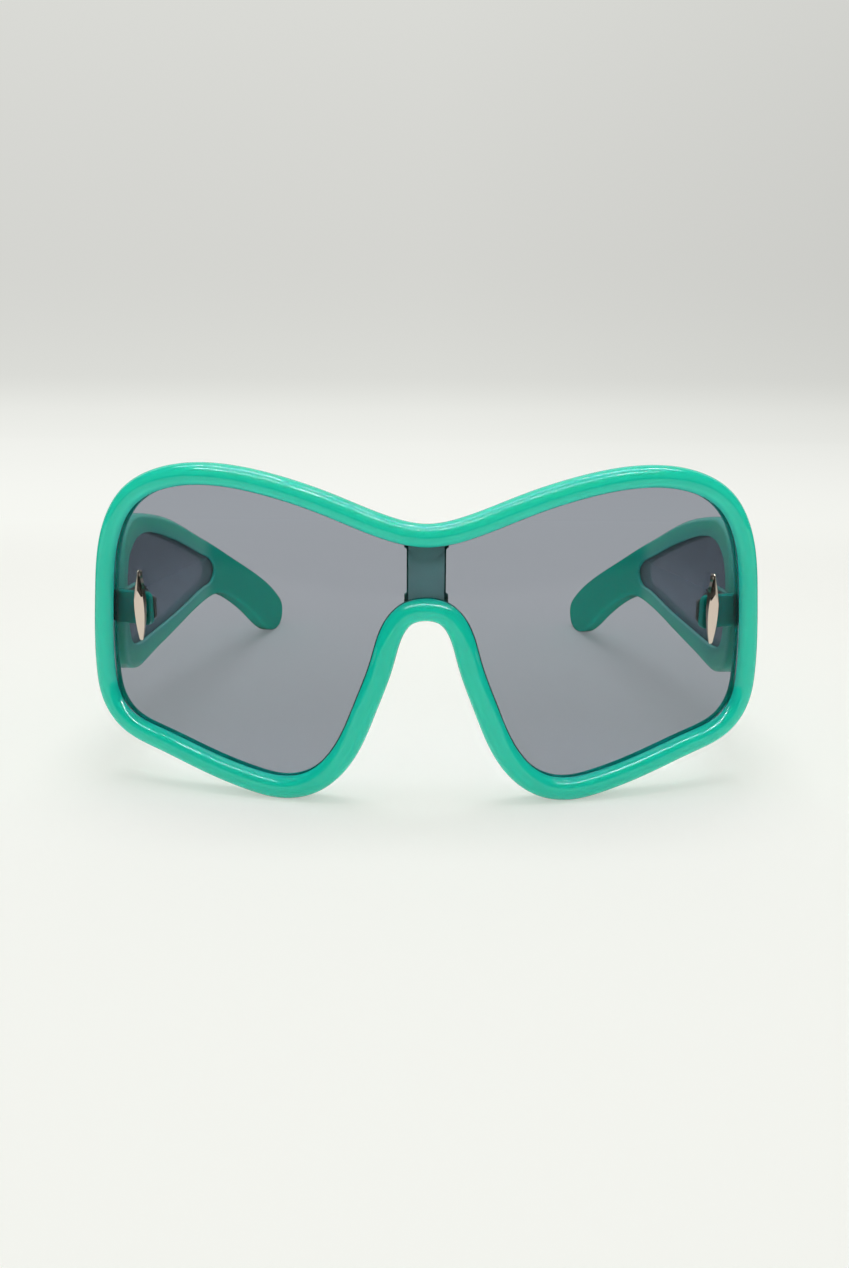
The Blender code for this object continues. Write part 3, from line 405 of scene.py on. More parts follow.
def spline_run(knots, start, end, count, endpoint=True):
    """Points at even distances along the spline between two places."""
    fine = spline(knots, np.linspace(start, end, int(60 * (end - start)) + 2))
    reach = np.concatenate([[0.0], np.cumsum(np.linalg.norm(np.diff(fine, axis=0), axis=1))])
    steps = np.linspace(0.0, reach[-1], count, endpoint=endpoint)
    return np.column_stack([np.interp(steps, reach, fine[:, k]) for k in (0, 1)])


def offset(loop, outward):
    """The closed, counterclockwise loop moved sideways by a distance, or by one for each point."""
    run = np.roll(loop, -1, axis=0) - np.roll(loop, 1, axis=0)
    run = run / np.linalg.norm(run, axis=1)[:, None]
    return loop + np.reshape(outward, (-1, 1)) * np.column_stack([run[:, 1], -run[:, 0]])


def offset_back(loop, outward):
    """The same for a clockwise loop."""
    return offset(loop[::-1], outward)[::-1]


def quarter(steps):
    """Angles from 0 to a quarter turn."""
    return np.radians(90.0) * np.linspace(0.0, 1.0, steps)


def round_box(low, high, radius, steps=10):
    """A rectangle's loop with quarter circles at its corners, and points along its sides."""
    turns = np.radians(90.0) * (np.arange(4)[:, None] + np.linspace(0.0, 1.0, steps)[None, :])
    centre_x = np.where([1, 0, 0, 1], high[0] - radius, low[0] + radius)[:, None]
    centre_y = np.where([1, 1, 0, 0], high[1] - radius, low[1] + radius)[:, None]
    return np.column_stack([(centre_x + radius * np.cos(turns)).ravel(),
                            (centre_y + radius * np.sin(turns)).ravel()])


def hinge_box(start, end, tall, corner):
    """A round box level with the hinge."""
    return round_box((start, HINGE.z - 0.5 * tall), (end, HINGE.z + 0.5 * tall), corner)


def with_level(flat, level):
    """Flat points with a level as their third value."""
    return np.concatenate([flat, np.full(flat.shape[:-1] + (1,), level)], axis=-1)


def edge_profile(low, high, radius, steps=6):
    """A rounded edge as (inset, level) pairs from the low face up, by quarter circles."""
    turn = quarter(steps)
    lower = np.column_stack([radius * (1.0 - np.sin(turn)), low + radius * (1.0 - np.cos(turn))])
    return np.vstack([lower, np.column_stack([lower[::-1, 0], high + low - lower[::-1, 1]])])


def carried(loop, profile):
    """An edge profile, as (inset, level) pairs, carried round a counterclockwise loop."""
    return np.stack([with_level(offset(loop, -inset), level) for inset, level in profile])


def plate(loop, low, high, radius, rule, cap_rings=4, steps=6):
    """A plate: its outline carried up a rounded edge, and each face filled by shrinking the
    outline in rings to its middle, all bent by the rule."""
    profile = edge_profile(low, high, radius, steps)
    middle = loop.mean(axis=0)
    shrink = np.linspace(0.0, 1.0, cap_rings, endpoint=False)[:, None, None]
    cap = middle + shrink * (offset(loop, -profile[0, 0]) - middle)
    points = [with_level(cap, low), carried(loop, profile), with_level(cap[::-1], high)]
    return grid_shell(bent(np.concatenate(points), rule), close_columns=True)


def turned(profile, rule, steps=32, ring=False):
    """A profile of (radius, height) pairs turned round the height axis; a ring's is closed."""
    profile = np.asarray(profile, dtype=float)
    turns = np.linspace(0.0, math.tau, steps, endpoint=False)[None, :]
    radius, height = profile[:, :1], profile[:, 1:]
    points = [radius * np.cos(turns), radius * np.sin(turns), height + 0.0 * turns]
    return grid_shell(bent(np.stack(points, axis=2), rule), close_rows=ring, close_columns=True)


def placed(matrix):
    """The rule that puts flat points into a frame given as a 4 x 4 matrix."""
    turn = np.array(matrix.to_3x3())
    shift = np.array(matrix.translation)
    return lambda points: points @ turn.T + shift


def frame_at(place, run, out):
    """The frame at a place: x along run, y up, z along out."""
    return Matrix.Translation(place) @ Matrix((run, (0.0, 0.0, 1.0), out)).transposed().to_4x4()


# The two bends

def wrap_front(points):
    """Round a cylinder: x = (R + proud) sin a and y back from the middle by R - (R + proud) cos a,
    where a is along / R; height stays."""
    front = chosen("front")
    turn = points[:, 0] / front.wrap_radius
    radius = front.wrap_radius + points[:, 2]
    back = FRONT_Y + front.wrap_radius - radius * np.cos(turn)
    return np.column_stack([radius * np.sin(turn), back, points[:, 1]])


def wrap_frame(along, height, proud):
    """The frame that lies flat on the wrapped front: x along it, y up, z towards the viewer."""
    turn = along / chosen("front").wrap_radius
    out = Vector((math.sin(turn), -math.cos(turn), 0.0))
    run = Vector((math.cos(turn), math.sin(turn), 0.0))
    return frame_at(Vector(wrap_front(np.array([[along, height, proud]]))[0]), run, out)


def bow_temple(points):
    """Along a great arc that starts turned in by the toe-in: x falls by B (cos toe - cos a) and y
    grows by B (sin a - sin toe), where a = toe + along / B; proud is laid off square to the arc,
    thinned evenly from the taper's start to the tip."""
    temple = chosen("temple")
    turn = temple.toe_in + points[:, 0] / temple.bow_radius
    start = temple.taper_from * temple.length
    taper = np.clip((points[:, 0] - start) / (temple.length - start), 0.0, 1.0)
    out = points[:, 2] * (1.0 - taper * (1.0 - temple.tip_thickness / temple.thickness))
    x = temple.face_x - temple.bow_radius * (math.cos(temple.toe_in) - np.cos(turn))
    y = TEMPLE_Y + temple.bow_radius * (np.sin(turn) - math.sin(temple.toe_in))
    return np.column_stack([x + out * np.cos(turn), y + out * np.sin(turn), points[:, 1]])


def temple_frame(along, height, proud):
    """The frame that lies flat on a temple's inner face: x along it, y up, z outwards."""
    temple = chosen("temple")
    turn = temple.toe_in + along / temple.bow_radius
    run = Vector((-math.sin(turn), math.cos(turn), 0.0))
    out = Vector((math.cos(turn), math.sin(turn), 0.0))
    return frame_at(Vector(bow_temple(np.array([[along, height, proud]]))[0]), run, out)


# Materials

def linear(hex_colour):
    """An sRGB hex value as linear red, green, blue and 1."""
    value = np.array([int(hex_colour[k:k + 2], 16) for k in (1, 3, 5)]) / 255.0
    value = np.where(value <= 0.04045, value / 12.92, ((value + 0.055) / 1.055) ** 2.4)
    return (*value.tolist(), 1.0)


def add_node(tree, kind, inputs=None, **settings):
    """Add a shader node: inputs maps an input's name or number to a value, to a hex colour or to
    another node's output."""
    node = tree.nodes.new("ShaderNode" + kind)
    for name, value in settings.items():
        setattr(node, name, value)
    for name, value in (inputs or {}).items():
        if isinstance(value, bpy.types.NodeSocket):
            tree.links.new(value, node.inputs[name])
        else:
            node.inputs[name].default_value = linear(value) if isinstance(value, str) else value
    return node


def axes_of(tree, vector):
    """The outputs X, Y and Z of a vector."""
    return add_node(tree, "SeparateXYZ", {0: vector}).outputs


def calc(tree, operation, *values):
    """One operation on values, such as MULTIPLY or MAXIMUM."""
    return add_node(tree, "Math", dict(enumerate(values)), operation=operation).outputs[0]


def ramped(tree, value, start, end, low=0.0, high=1.0, kind="LINEAR"):
    """From low to high while the value goes from start to end, and held beyond them."""
    inputs = {"Value": value, "From Min": start, "From Max": end, "To Min": low, "To Max": high}
    return add_node(tree, "MapRange", inputs, interpolation_type=kind).outputs[0]


def eased(tree, value, start, end, low=0.0, high=1.0):
    """The same with a soft start and a soft end."""
    return ramped(tree, value, start, end, low, high, "SMOOTHSTEP")


def noise(tree, where, grain_mm, detail):
    """Noise whose grains are this many millimetres apart."""
    inputs = {"Vector": where, "Scale": 1000.0 / grain_mm, "Detail": detail}
    return add_node(tree, "TexNoise", inputs).outputs["Fac"]


def bumped(tree, relief, strength, depth=WAVE_DEPTH):
    """The normal over a relief of this depth."""
    inputs = {"Height": relief, "Strength": strength, "Distance": depth}
    return add_node(tree, "Bump", inputs).outputs["Normal"]


def tinted(tree, share, first, second):
    """A colour that goes from the first to the second by a share."""
    return add_node(tree, "Mix", {0: share, 6: first, 7: second}, data_type="RGBA").outputs[2]


def layered(tree, share, first, second):
    """A shader that goes from the first to the second by a share."""
    return add_node(tree, "MixShader", {0: share, 1: first, 2: second}).outputs[0]


def glow(tree, tone, strength=1.0, kind="Emission"):
    """A shader that glows; the world's is a Background."""
    return add_node(tree, kind, {"Color": tone, "Strength": strength}).outputs[0]


def new_material(name):
    """An empty material, its tree and the places on its object."""
    material = bpy.data.materials.new(name)
    material.use_nodes = True
    tree = material.node_tree
    tree.nodes.clear()
    return material, tree, add_node(tree, "TexCoord").outputs["Object"]


def finished(material, surface):
    """The material, with this shader as its surface."""
    add_node(material.node_tree, "OutputMaterial", {"Surface": surface})
    return material


def milky_acetate(name, painted_light_tint, axis, start, end):
    """Cellulose acetate, moulded thick and tumbled to a gloss. Light goes a few millimetres in, so
    it looks soft and milky, and clouds 14 mm across vary it slightly; the tumbled skin keeps a
    shallow 5 mm waviness that makes highlights wander. From start to end along an axis it is
    painted lighter as painted light, but not on a rim's outer side, and a rim's inner wall by the
    lens and the hinge tabs are painted darker as painted shade."""
    finish = chosen("finish")
    material, tree, where = new_material(name)
    wall = add_node(tree, "Attribute", attribute_name="shade").outputs["Fac"]
    tint = tinted(tree, noise(tree, where, 14.0, 3.0), finish.mint, finish.milk)
    # Painted light: the share of the lighter tint, along the axis and off a rim's outer side
    milky = calc(tree, "MULTIPLY", eased(tree, axes_of(tree, where)[axis], start, end),
                 eased(tree, wall, *PAINTED_LIGHT_WALL))
    tint = tinted(tree, milky, tint, painted_light_tint)
    # Painted shade on a rim's inner wall by the lens and on the hinge tabs
    tint = tinted(tree, ramped(tree, wall, *PAINTED_SHADE_WALL), tint, finish.shade)
    return finished(material, add_node(tree, "BsdfPrincipled", {
        "Base Color": tint, "IOR": ACETATE_IOR,
        "Roughness": ramped(tree, noise(tree, where, 2.0, 4.0), 0.0, 1.0, 0.0, 0.03),
        "Normal": bumped(tree, noise(tree, where, 5.0, 1.0), 0.05), "Subsurface Weight": 0.6,
        "Subsurface Radius": (0.35, 1.0, 0.8), "Subsurface Scale": 0.004}).outputs[0])


def front_acetate():
    """The acetate of the front, painted lighter along its top: painted light for the light from
    above that fills it.
    """
    return milky_acetate("milky_mint_acetate", chosen("finish").painted_top_light, axis="Z", start=0.046,
                         end=0.062)


def temple_acetate():
    """The same acetate in the temples, painted lighter round their windows than in the neck and the
    arm, as painted light.
    """
    return milky_acetate("temple_mint_acetate", chosen("finish").pale, axis="Y", start=0.012,
                         end=0.0)


def thin_acetate():
    """The same acetate in the thin bar, which the light behind it shines through; its much lighter
    tint adds painted light to that, and towards its sides it is painted darker, as painted shade
    for how it looks seen along more of its depth."""
    finish = chosen("finish")
    half = 0.5 * chosen("front").bar_width
    material, tree, where = new_material("thin_mint_acetate")
    away = calc(tree, "ABSOLUTE", axes_of(tree, where)["X"])
    side = ramped(tree, away, half - BAR_PAINTED_SHADE[0], half - BAR_PAINTED_SHADE[1])
    return finished(material, add_node(tree, "BsdfPrincipled", {
        "Base Color": tinted(tree, side, finish.thin_mint_painted_light, finish.bar_side_painted_shade), "Roughness": 0.2,
        "IOR": ACETATE_IOR, "Subsurface Weight": 1.0, "Subsurface Radius": (1.0, 1.0, 1.0),
        "Subsurface Scale": 0.003}).outputs[0])


def smoke_sheet(name, tint, painted_foot_tint, top, foot, clear):
    """Polycarbonate sheet, tinted through and coated against reflections, so that it mirrors as
    little as a glass of low index; a share of the light goes clear through and its pigment scatters
    the rest. Its tint changes a little from top to foot as painted light and shade. Lamps reach
    through it as through air."""
    material, tree, where = new_material(name)
    low = eased(tree, axes_of(tree, where)["Z"], top, foot)
    glass = add_node(tree, "BsdfPrincipled", {
        "Base Color": tinted(tree, low, tint, painted_foot_tint), "Roughness": 0.0, "IOR": COATED_IOR,
        "Transmission Weight": clear, "Normal": bumped(tree, noise(tree, where, 30.0, 1.0), 0.03)})
    through = add_node(tree, "BsdfTransparent", {"Color": tint})
    lamp_ray = add_node(tree, "LightPath").outputs["Is Shadow Ray"]
    return finished(material, layered(tree, lamp_ray, glass.outputs[0], through.outputs[0]))


def smoke_lens():
    """The shield's sheet, which dims what is behind it to a third; it is painted darker towards its
    foot, as painted shade.
    """
    finish = chosen("finish")
    return smoke_sheet("smoke_polycarbonate", finish.smoke, finish.foot_painted_shade_smoke, top=0.050, foot=0.015,
                       clear=1.0)


def dark_side_lens():
    """The side lenses' sheet, tinted darker than the shield and slightly cloudy; it is painted
    lighter towards their foot, as painted light from the white table behind them.
    """
    finish = chosen("finish")
    return smoke_sheet("dark_smoke_polycarbonate", finish.side_smoke, finish.foot_painted_light_side_smoke,
                       top=0.048, foot=0.030, clear=0.6)


def metal(name, tone, smooth, rough, grain_mm, stretch=(1.0, 1.0, 1.0)):
    """A solid metal whose roughness and skin vary with a grain, stretched along one way."""
    material, tree, where = new_material(name)
    laid = add_node(tree, "Mapping", {"Vector": where, "Scale": stretch}).outputs[0]
    grain = noise(tree, laid, grain_mm, 3.0)
    return finished(material, add_node(tree, "BsdfPrincipled", {
        "Base Color": tone, "Metallic": 1.0,
        "Roughness": ramped(tree, grain, 0.0, 1.0, smooth, rough),
        "Normal": bumped(tree, grain, 0.05, depth=0.00005)}).outputs[0])


def pale_gold():
    """Die-cast zinc, polished and plated in pale gold: mirror facets with a faint orange peel."""
    return metal("pale_gold_plate", chosen("finish").gold, smooth=0.08, rough=0.16, grain_mm=1.5)


def nickel_silver():
    """Nickel silver, stamped and brushed: grey with a warm tone, its grain along the leaf."""
    return metal("brushed_nickel_silver", chosen("finish").nickel, smooth=0.22, rough=0.38,
                 grain_mm=0.4, stretch=(1.0, 1.0, 8.0))


MATERIALS = {}


def finish_of(maker):
    """The material that a maker function gives, made once."""
    if maker not in MATERIALS:
        MATERIALS[maker] = maker()
    return MATERIALS[maker]


# Shapes of the front

def rim_path(count=900):
    """The rim's middle line, counterclockwise: the left half's spline and its mirror image, lifted
    so that the rim's lowest point stands on the table."""
    front = chosen("front")
    half = [(0.5 * front.width * x, front.rise * z) for x, z in RIM_SHARES]
    knots = half + [(-x, z) for x, z in half[-2:0:-1]]
    loop = spline_run(knots, 0.0, len(knots), count, endpoint=False)[::-1]
    return loop + np.array([0.0, 0.5 * front.rim_width - front.rest - loop[:, 1].min()])


def rim_share(path):
    """The rim's size against its full size at each point: it thins evenly with height."""
    height = path[:, 1] - path[:, 1].min()
    return 1.0 - (1.0 - chosen("front").rim_top) * height / height.max()


def rim_shell():
    """A superellipse |out|^p + |proud|^p = 1, scaled by the rim's share and carried round its
    path; where it faces the lens, a groove is sunk into it. Also the painted shade of each point."""
    front = chosen("front")
    path = rim_path()
    size = rim_share(path)[None, :]
    normal = offset(path, 1.0) - path
    wide, deep, power = 0.5 * front.rim_width, 0.5 * front.rim_depth, front.squareness
    back, face = front.lens_back - front.fit, front.lens_back + front.lens_thickness + front.fit
    turns = np.linspace(-SECTION_TURN, SECTION_TURN, 64) * math.pi
    out = wide * np.sign(np.cos(turns)) * np.abs(np.cos(turns)) ** (2.0 / power)
    proud = deep * np.sign(np.sin(turns)) * np.abs(np.sin(turns)) ** (2.0 / power)
    keep = (out > 0.0) | (proud < back) | (proud > face)
    out, proud = out[keep][:, None], proud[keep][:, None]
    lip = [-wide * (1.0 - (abs(level) / deep) ** power) ** (1.0 / power) for level in (face, back)]
    floor = front.bite + front.fit - wide
    away = np.clip(-normal[:, 0] * np.sign(path[:, 0]), 0.0, 1.0)[None, :]
    shade = rim_painted_shade(out / wide, proud, face + NOSE_PAINTED_SHADE_REACH * away)
    rows = [out * size] + [np.full_like(size, x) * size for x in (lip[0], floor, floor, lip[1])]
    out = np.vstack(rows)
    proud = np.vstack([proud * size] + [np.full_like(size, y) for y in (face, face, back, back)])
    shade = np.vstack([shade] + [np.full_like(size, value) for value in GROOVE_PAINTED_SHADE])
    flat = path[None] + out[:, :, None] * normal[None]
    points = bent(np.concatenate([flat, proud[:, :, None]], axis=2), wrap_front)
    points[:, :, 2] = np.maximum(points[:, :, 2], 0.0)
    return grid_shell(points, close_rows=True, close_columns=True), shade.ravel()


def rim_painted_shade(out, proud, lip):
    """Above 1 on the inner wall up to the groove's front lip, where the lens's shade is painted,
    and falling by 1 with every millimetre further forward; on the outer side it falls from 0 to -1
    with the distance outwards, which takes the painted light off its outer part."""
    inner = (out < 0.0) & (proud > 0.0)
    return np.where(inner, LIP_PAINTED_SHADE + 1000.0 * (lip - proud), 0.0 * lip - np.maximum(out, 0.0))


def bar_shell():
    """The flat bar behind the lens, from inside the nose arch to inside the top of the rim, its
    sides flared by quarter circles where they meet the rim."""
    front = chosen("front")
    path = rim_path()
    middle = np.sort(path[np.argsort(np.abs(path[:, 0]))[:4], 1])
    low, high, edge = middle[0], middle[-1], 0.5 * front.rim_width
    half, flare, turn = 0.5 * front.bar_width, front.bar_flare, quarter(9)
    foot = np.column_stack([half + flare * (1.0 - np.sin(turn)),
                            low + edge + flare * (1.0 - np.cos(turn))])
    foot = np.vstack([[(half + flare, low)], foot])
    height = np.linspace(low + edge + 2 * flare, high - edge - 2 * flare, 12)
    head = np.column_stack([foot[:, 0], low + high - foot[:, 1]])[::-1]
    right = np.vstack([foot, np.column_stack([np.full(12, half), height]), head])
    loop = np.vstack([right, np.column_stack([-right[:, 0], right[:, 1]])[::-1]])
    back = front.lens_back - front.fit
    return plate(loop, back - front.bar_depth, back, radius=0.0002, rule=wrap_front)


def tab_shell():
    """A rounded tab that grows from the rim behind the lens and carries the hinge."""
    front = chosen("front")
    loop = hinge_box(front.tab_inner, front.tab_outer, front.tab_tall, TAB_CORNER)
    back = front.lens_back - front.fit
    return plate(loop, back - front.tab_depth, back, radius=0.0004, rule=wrap_front)


def lens_shell():
    """The shield: upright sections at each distance from the middle, from the lower edge to the
    upper one on the front face and down again on the back face; the edges are the rim's path
    moved into its groove."""
    front = chosen("front")
    path = rim_path(1400)
    edge = offset(path, front.bite - 0.5 * front.rim_width * rim_share(path))
    right, left = edge[:, 0].argmax(), edge[:, 0].argmin()
    around = np.roll(edge, -right, axis=0)
    turn = (left - right) % len(edge)
    upper, lower = around[:turn + 1][::-1], np.vstack([around[turn:], around[:1]])
    along = edge[right, 0] * np.sin(np.radians(90.0) * np.linspace(-1.0, 1.0, 401))
    top = np.interp(along, upper[:, 0], upper[:, 1])
    bottom = np.interp(along, lower[:, 0], lower[:, 1])
    climb = np.linspace(0.0, 1.0, 14)
    climb, face = np.concatenate([climb, climb[::-1]]), np.repeat([1.0, 0.0], 14)
    height = bottom[None] + climb[:, None] * (top - bottom)[None]
    proud = front.lens_back + face[:, None] * front.lens_thickness + 0.0 * height
    points = np.stack([along[None] + 0.0 * height, height, proud], axis=2)
    return grid_shell(bent(points, wrap_front), close_rows=True)


def plaque_frame():
    """The plaque's own frame on the front: it leans like the side of the rim."""
    plaque = chosen("plaque")
    lean = Matrix.Rotation(plaque.lean, 4, "Z")
    return wrap_frame(plaque.place, HINGE.z + plaque.rise, 0.0) @ lean


def plaque_shells():
    """A long lozenge. Its face is three planes that fall from one point: one to the foot and two
    to the upper sides, the outer one steeper than the inner; rings shrink from the outline to
    that point, so the ridges between planes run through the grid. Two posts run back."""
    plaque, front = chosen("plaque"), chosen("front")
    half = [(0.5 * plaque.wide * x, plaque.tall * z) for x, z in PLAQUE_SHARES]
    knots = half[::-1] + [(-x, z) for x, z in half]
    loop = spline_run(knots, 0.0, len(knots), 240, endpoint=False)
    point = np.array([0.0, plaque.point])
    rings = np.linspace(0.0, 1.0, 60)[:, None, None]
    spread = point + rings * (offset(loop, -PLAQUE_BEVEL[0][0]) - point)
    x, y = spread[:, :, 0], spread[:, :, 1] - plaque.point
    face = plaque.depth + np.min([a * x + b * y for a, b in PLAQUE_PLANES], axis=0)
    crown = np.concatenate([spread, face[:, :, None]], axis=2)
    fall = np.outer(face[-1], (0.0, 0.0, 1.0))
    base = with_level(spread[::-1], 0.0)[1::6]
    points = np.concatenate([crown, carried(loop, PLAQUE_BEVEL) + fall, carried(loop, PLAQUE_FOOT),
                             base, 0.0 * base[:1] + [0.0, plaque.point, 0.0]])
    seat = front.lens_back + front.lens_thickness + front.fit
    rule = placed(plaque_frame() @ Matrix.Translation((0.0, 0.0, seat)))
    shells = [grid_shell(bent(points, rule), close_columns=True)]
    leaf_back = front.lens_back - 2.0 * front.fit - front.tab_depth
    leaf_back -= chosen("hinge").leaf_thickness
    for level in (1.0, -1.0):
        place = (plaque.post_out, 0.5 * level * plaque.post_spacing - plaque.rise, 0.0)
        shells.append(turned(headed_pin(seat + front.fit, leaf_back - front.fit, plaque.post_radius,
                                        plaque.head_radius, plaque.head_depth),
                             placed(plaque_frame() @ Matrix.Translation(place))))
    return shells


def headed_pin(start, head, radius, head_radius, head_depth):
    """A pin's profile from its flat end to a domed head, whose dome is a quarter ellipse."""
    turn = quarter(7)
    dome = np.column_stack([head_radius * np.cos(turn), head - head_depth * np.sin(turn)])
    return np.vstack([[(0.0, start), (radius, start), (radius, head)], dome])


# Shapes of the temples

def temple_outline(count_window, count_arm):
    """Matching runs of the outline: round the window, out along the top of the arm to the tip, and
    back along its underside; all go the same way round."""
    temple = chosen("temple")
    knots = TEMPLE_SHARES * [temple.length, temple.height]
    lap = len(knots)
    fine = spline_run(knots, 0.0, lap, 4000)
    knots = knots - [fine[:, 0].min(), fine[:, 1].min() + chosen("front").rest]
    window_run = spline_run(knots, NECK_BOTTOM_KNOT, lap + NECK_TOP_KNOT, count_window)
    arm_top = spline_run(knots, NECK_TOP_KNOT, TIP_KNOT, count_arm)
    arm_under = spline_run(knots, TIP_KNOT, NECK_BOTTOM_KNOT, count_arm)
    return np.vstack([window_run, arm_top[1:], arm_under[1:-1]])


def window_outline(count):
    """The window's edge, clockwise from its rear corner and back to it."""
    temple = chosen("temple")
    knots = WINDOW_SHARES * [temple.length, temple.height]
    return spline_run(knots, WINDOW_REAR_KNOT, WINDOW_REAR_KNOT + len(knots), count)


def temple_shells():
    """Inner and outer faces stretched from the outline's rounded edge to the window's edge, and,
    along the arm, to a spine midway between its top and its underside; an edge profile is
    carried round the outline and another, with a groove in it, round the window."""
    temple = chosen("temple")
    count_window, count_arm, across = 360, 170, 9
    outline = temple_outline(count_window, count_arm)
    window = window_outline(count_window)[:-1]
    thick = temple.thickness
    outer = offset_back(outline, -temple.edge)
    inner = offset_back(window, temple.window_edge)
    inner = np.vstack([inner, inner[:1]])
    top = outer[count_window - 1:count_window + count_arm - 1]
    under = np.vstack([outer[count_window + count_arm - 2:], outer[:1]])[::-1]
    middle = 0.5 * (top + under)
    steps = np.linspace(0.0, 1.0, count_arm)
    place = SPINE_SHARE * steps * (count_arm - 1)
    spine = np.column_stack([np.interp(place, np.arange(count_arm), middle[:, k]) for k in (0, 1)])
    spine += np.outer((1.0 - steps) ** 3, inner[0] - spine[0])
    target = np.vstack([inner, spine[1:], spine[::-1][1:-1]])
    blend = np.linspace(0.0, 1.0, across)[:, None, None]
    flat = outer[None] * (1.0 - blend) + target[None] * blend
    rim = carried(outline[::-1], edge_profile(0.0, thick, temple.edge))[:, ::-1]
    low = temple.lens_setback - CLEARANCE
    high = low + temple.lens_thickness + 2.0 * CLEARANCE
    floor = temple.bite + CLEARANCE
    profile = edge_profile(0.0, thick, temple.window_edge)
    half = len(profile) // 2
    profile = np.vstack([profile[:half], [(0.0, low), (floor, low), (floor, high), (0.0, high)],
                         profile[half:]])
    wall = carried(window[::-1], profile * [-1.0, 1.0])[:, ::-1]
    shells = []
    for points in (with_level(flat, 0.0), with_level(flat, thick), rim, wall):
        points = bent(points, bow_temple)
        points[:, :, 2] = np.maximum(points[:, :, 2], 0.0)
        shells.append(grid_shell(points, close_columns=True))
    return shells


def temple_tab_shell():
    """The hinge tab inside the window, level with the hinge."""
    temple = chosen("temple")
    loop = hinge_box(temple.tab_start, temple.tab_start + temple.tab_length, temple.tab_tall,
                     TAB_CORNER)
    high = temple.lens_setback - CLEARANCE - SINK
    return plate(loop, -temple.tab_rise, high, radius=0.0003, rule=bow_temple)


def side_lens_shell():
    """The window's outline moved into its groove, as a thin plate."""
    temple = chosen("temple")
    loop = offset(window_outline(300)[:-1][::-1], temple.bite)
    low = temple.lens_setback
    return plate(loop, low, low + temple.lens_thickness, radius=0.0001, rule=bow_temple,
                 cap_rings=12, steps=2)


# Shapes of the hinges

def knuckle_shells(low, high, foot):
    """A barrel on the hinge axis with chamfered ends, and a web from it to the leaf at foot."""
    hinge = chosen("hinge")
    radius, bore, cut, corner = hinge.knuckle_radius, hinge.bore, 0.00012, 0.0001
    rule = placed(Matrix.Translation(HINGE))
    profile = [(bore, low), (radius - cut, low), (radius, low + cut), (radius, high - cut),
               (radius - cut, high), (bore, high)]
    barrel = turned(profile, rule, steps=40, ring=True)
    toward = Vector((foot[0] - HINGE.x, foot[1] - HINGE.y))
    reach = toward.length
    toward.normalize()
    start = math.sqrt(radius ** 2 - hinge.web ** 2) - corner
    strip = round_box((start, -hinge.web), (reach, hinge.web), corner, steps=3)
    turn = Matrix((toward, (-toward.y, toward.x))).transposed()
    loop = strip @ np.array(turn).T
    return [barrel, plate(loop, low + SINK, high - SINK, corner, rule, steps=2)]


def front_leaf_shells():
    """A rounded plate behind the front's tab, with a knuckle at its top and one at its foot."""
    front, hinge = chosen("front"), chosen("hinge")
    middle = 0.5 * (hinge.front_start + hinge.front_end)
    half = 0.5 * (hinge.front_end - hinge.front_start)
    tall = 0.5 * hinge.leaf_tall
    seat = front.lens_back - 2.0 * front.fit - front.tab_depth
    leaf = plate(round_box((-half, -tall), (half, tall), LEAF_CORNER), -hinge.leaf_thickness, 0.0,
                 LEAF_EDGE, placed(wrap_frame(middle, HINGE.z, seat)))
    foot = wrap_frame(hinge.front_end - LEAF_CORNER, HINGE.z, seat - 0.5 * hinge.leaf_thickness)
    knuckle = KNUCKLE_SHARE * hinge.leaf_tall
    return ([leaf] + knuckle_shells(-tall, -tall + knuckle, foot.translation)
            + knuckle_shells(tall - knuckle, tall, foot.translation))


def temple_leaf_shells():
    """A rounded plate on the temple's tab, with one knuckle between those of the front leaf."""
    hinge = chosen("hinge")
    high = -chosen("temple").tab_rise - CLEARANCE
    low = high - hinge.leaf_thickness
    loop = hinge_box(hinge.temple_start, hinge.temple_end, hinge.leaf_tall, LEAF_CORNER)
    foot = temple_frame(hinge.temple_start + LEAF_CORNER, HINGE.z, 0.5 * (low + high)).translation
    tall = 0.5 * hinge.leaf_tall
    gap = KNUCKLE_SHARE * hinge.leaf_tall + CLEARANCE
    return ([plate(loop, low, high, LEAF_EDGE, bow_temple)]
            + knuckle_shells(-tall + gap, tall - gap, foot))


def screw_shells():
    """The hinge screw: a pin, a low head, and on it two half moons with the slot between them."""
    hinge = chosen("hinge")
    tall, cut = 0.5 * hinge.leaf_tall, 0.0001
    top = tall + CLEARANCE
    base = top + 0.5 * hinge.head_depth
    rule = placed(Matrix.Translation(HINGE))
    profile = [(0.0, -tall), (hinge.pin_radius, -tall), (hinge.pin_radius, top),
               (hinge.head_radius - cut, top), (hinge.head_radius, top + cut),
               (hinge.head_radius, base), (0.0, base)]
    shells = [turned(profile, rule, steps=40)]
    start = math.asin(0.5 * hinge.slot / hinge.head_radius)
    turns = np.linspace(start, math.pi - start, 30)
    arc = hinge.head_radius * np.column_stack([np.cos(turns), np.sin(turns)])
    chord = np.linspace(arc[-1], arc[0], 12)[1:-1]
    for flip in (1.0, -1.0):
        shells.append(plate(flip * np.vstack([arc, chord]), base - SINK, top + hinge.head_depth,
                            radius=0.00018, rule=rule, steps=4))
    return shells


def rivet_shells(place_share):
    """A headed rivet through the temple's leaf at a share of its length, down into the tab."""
    temple, hinge = chosen("temple"), chosen("hinge")
    along = hinge.temple_start + place_share * (hinge.temple_end - hinge.temple_start)
    end = temple.lens_setback - 2.0 * CLEARANCE
    head = -temple.tab_rise - CLEARANCE - hinge.leaf_thickness - CLEARANCE
    return [turned(headed_pin(end, head, RIVET_SHANK, hinge.rivet_radius, hinge.rivet_depth),
                   placed(temple_frame(along, HINGE.z, 0.0)))]


# Operators

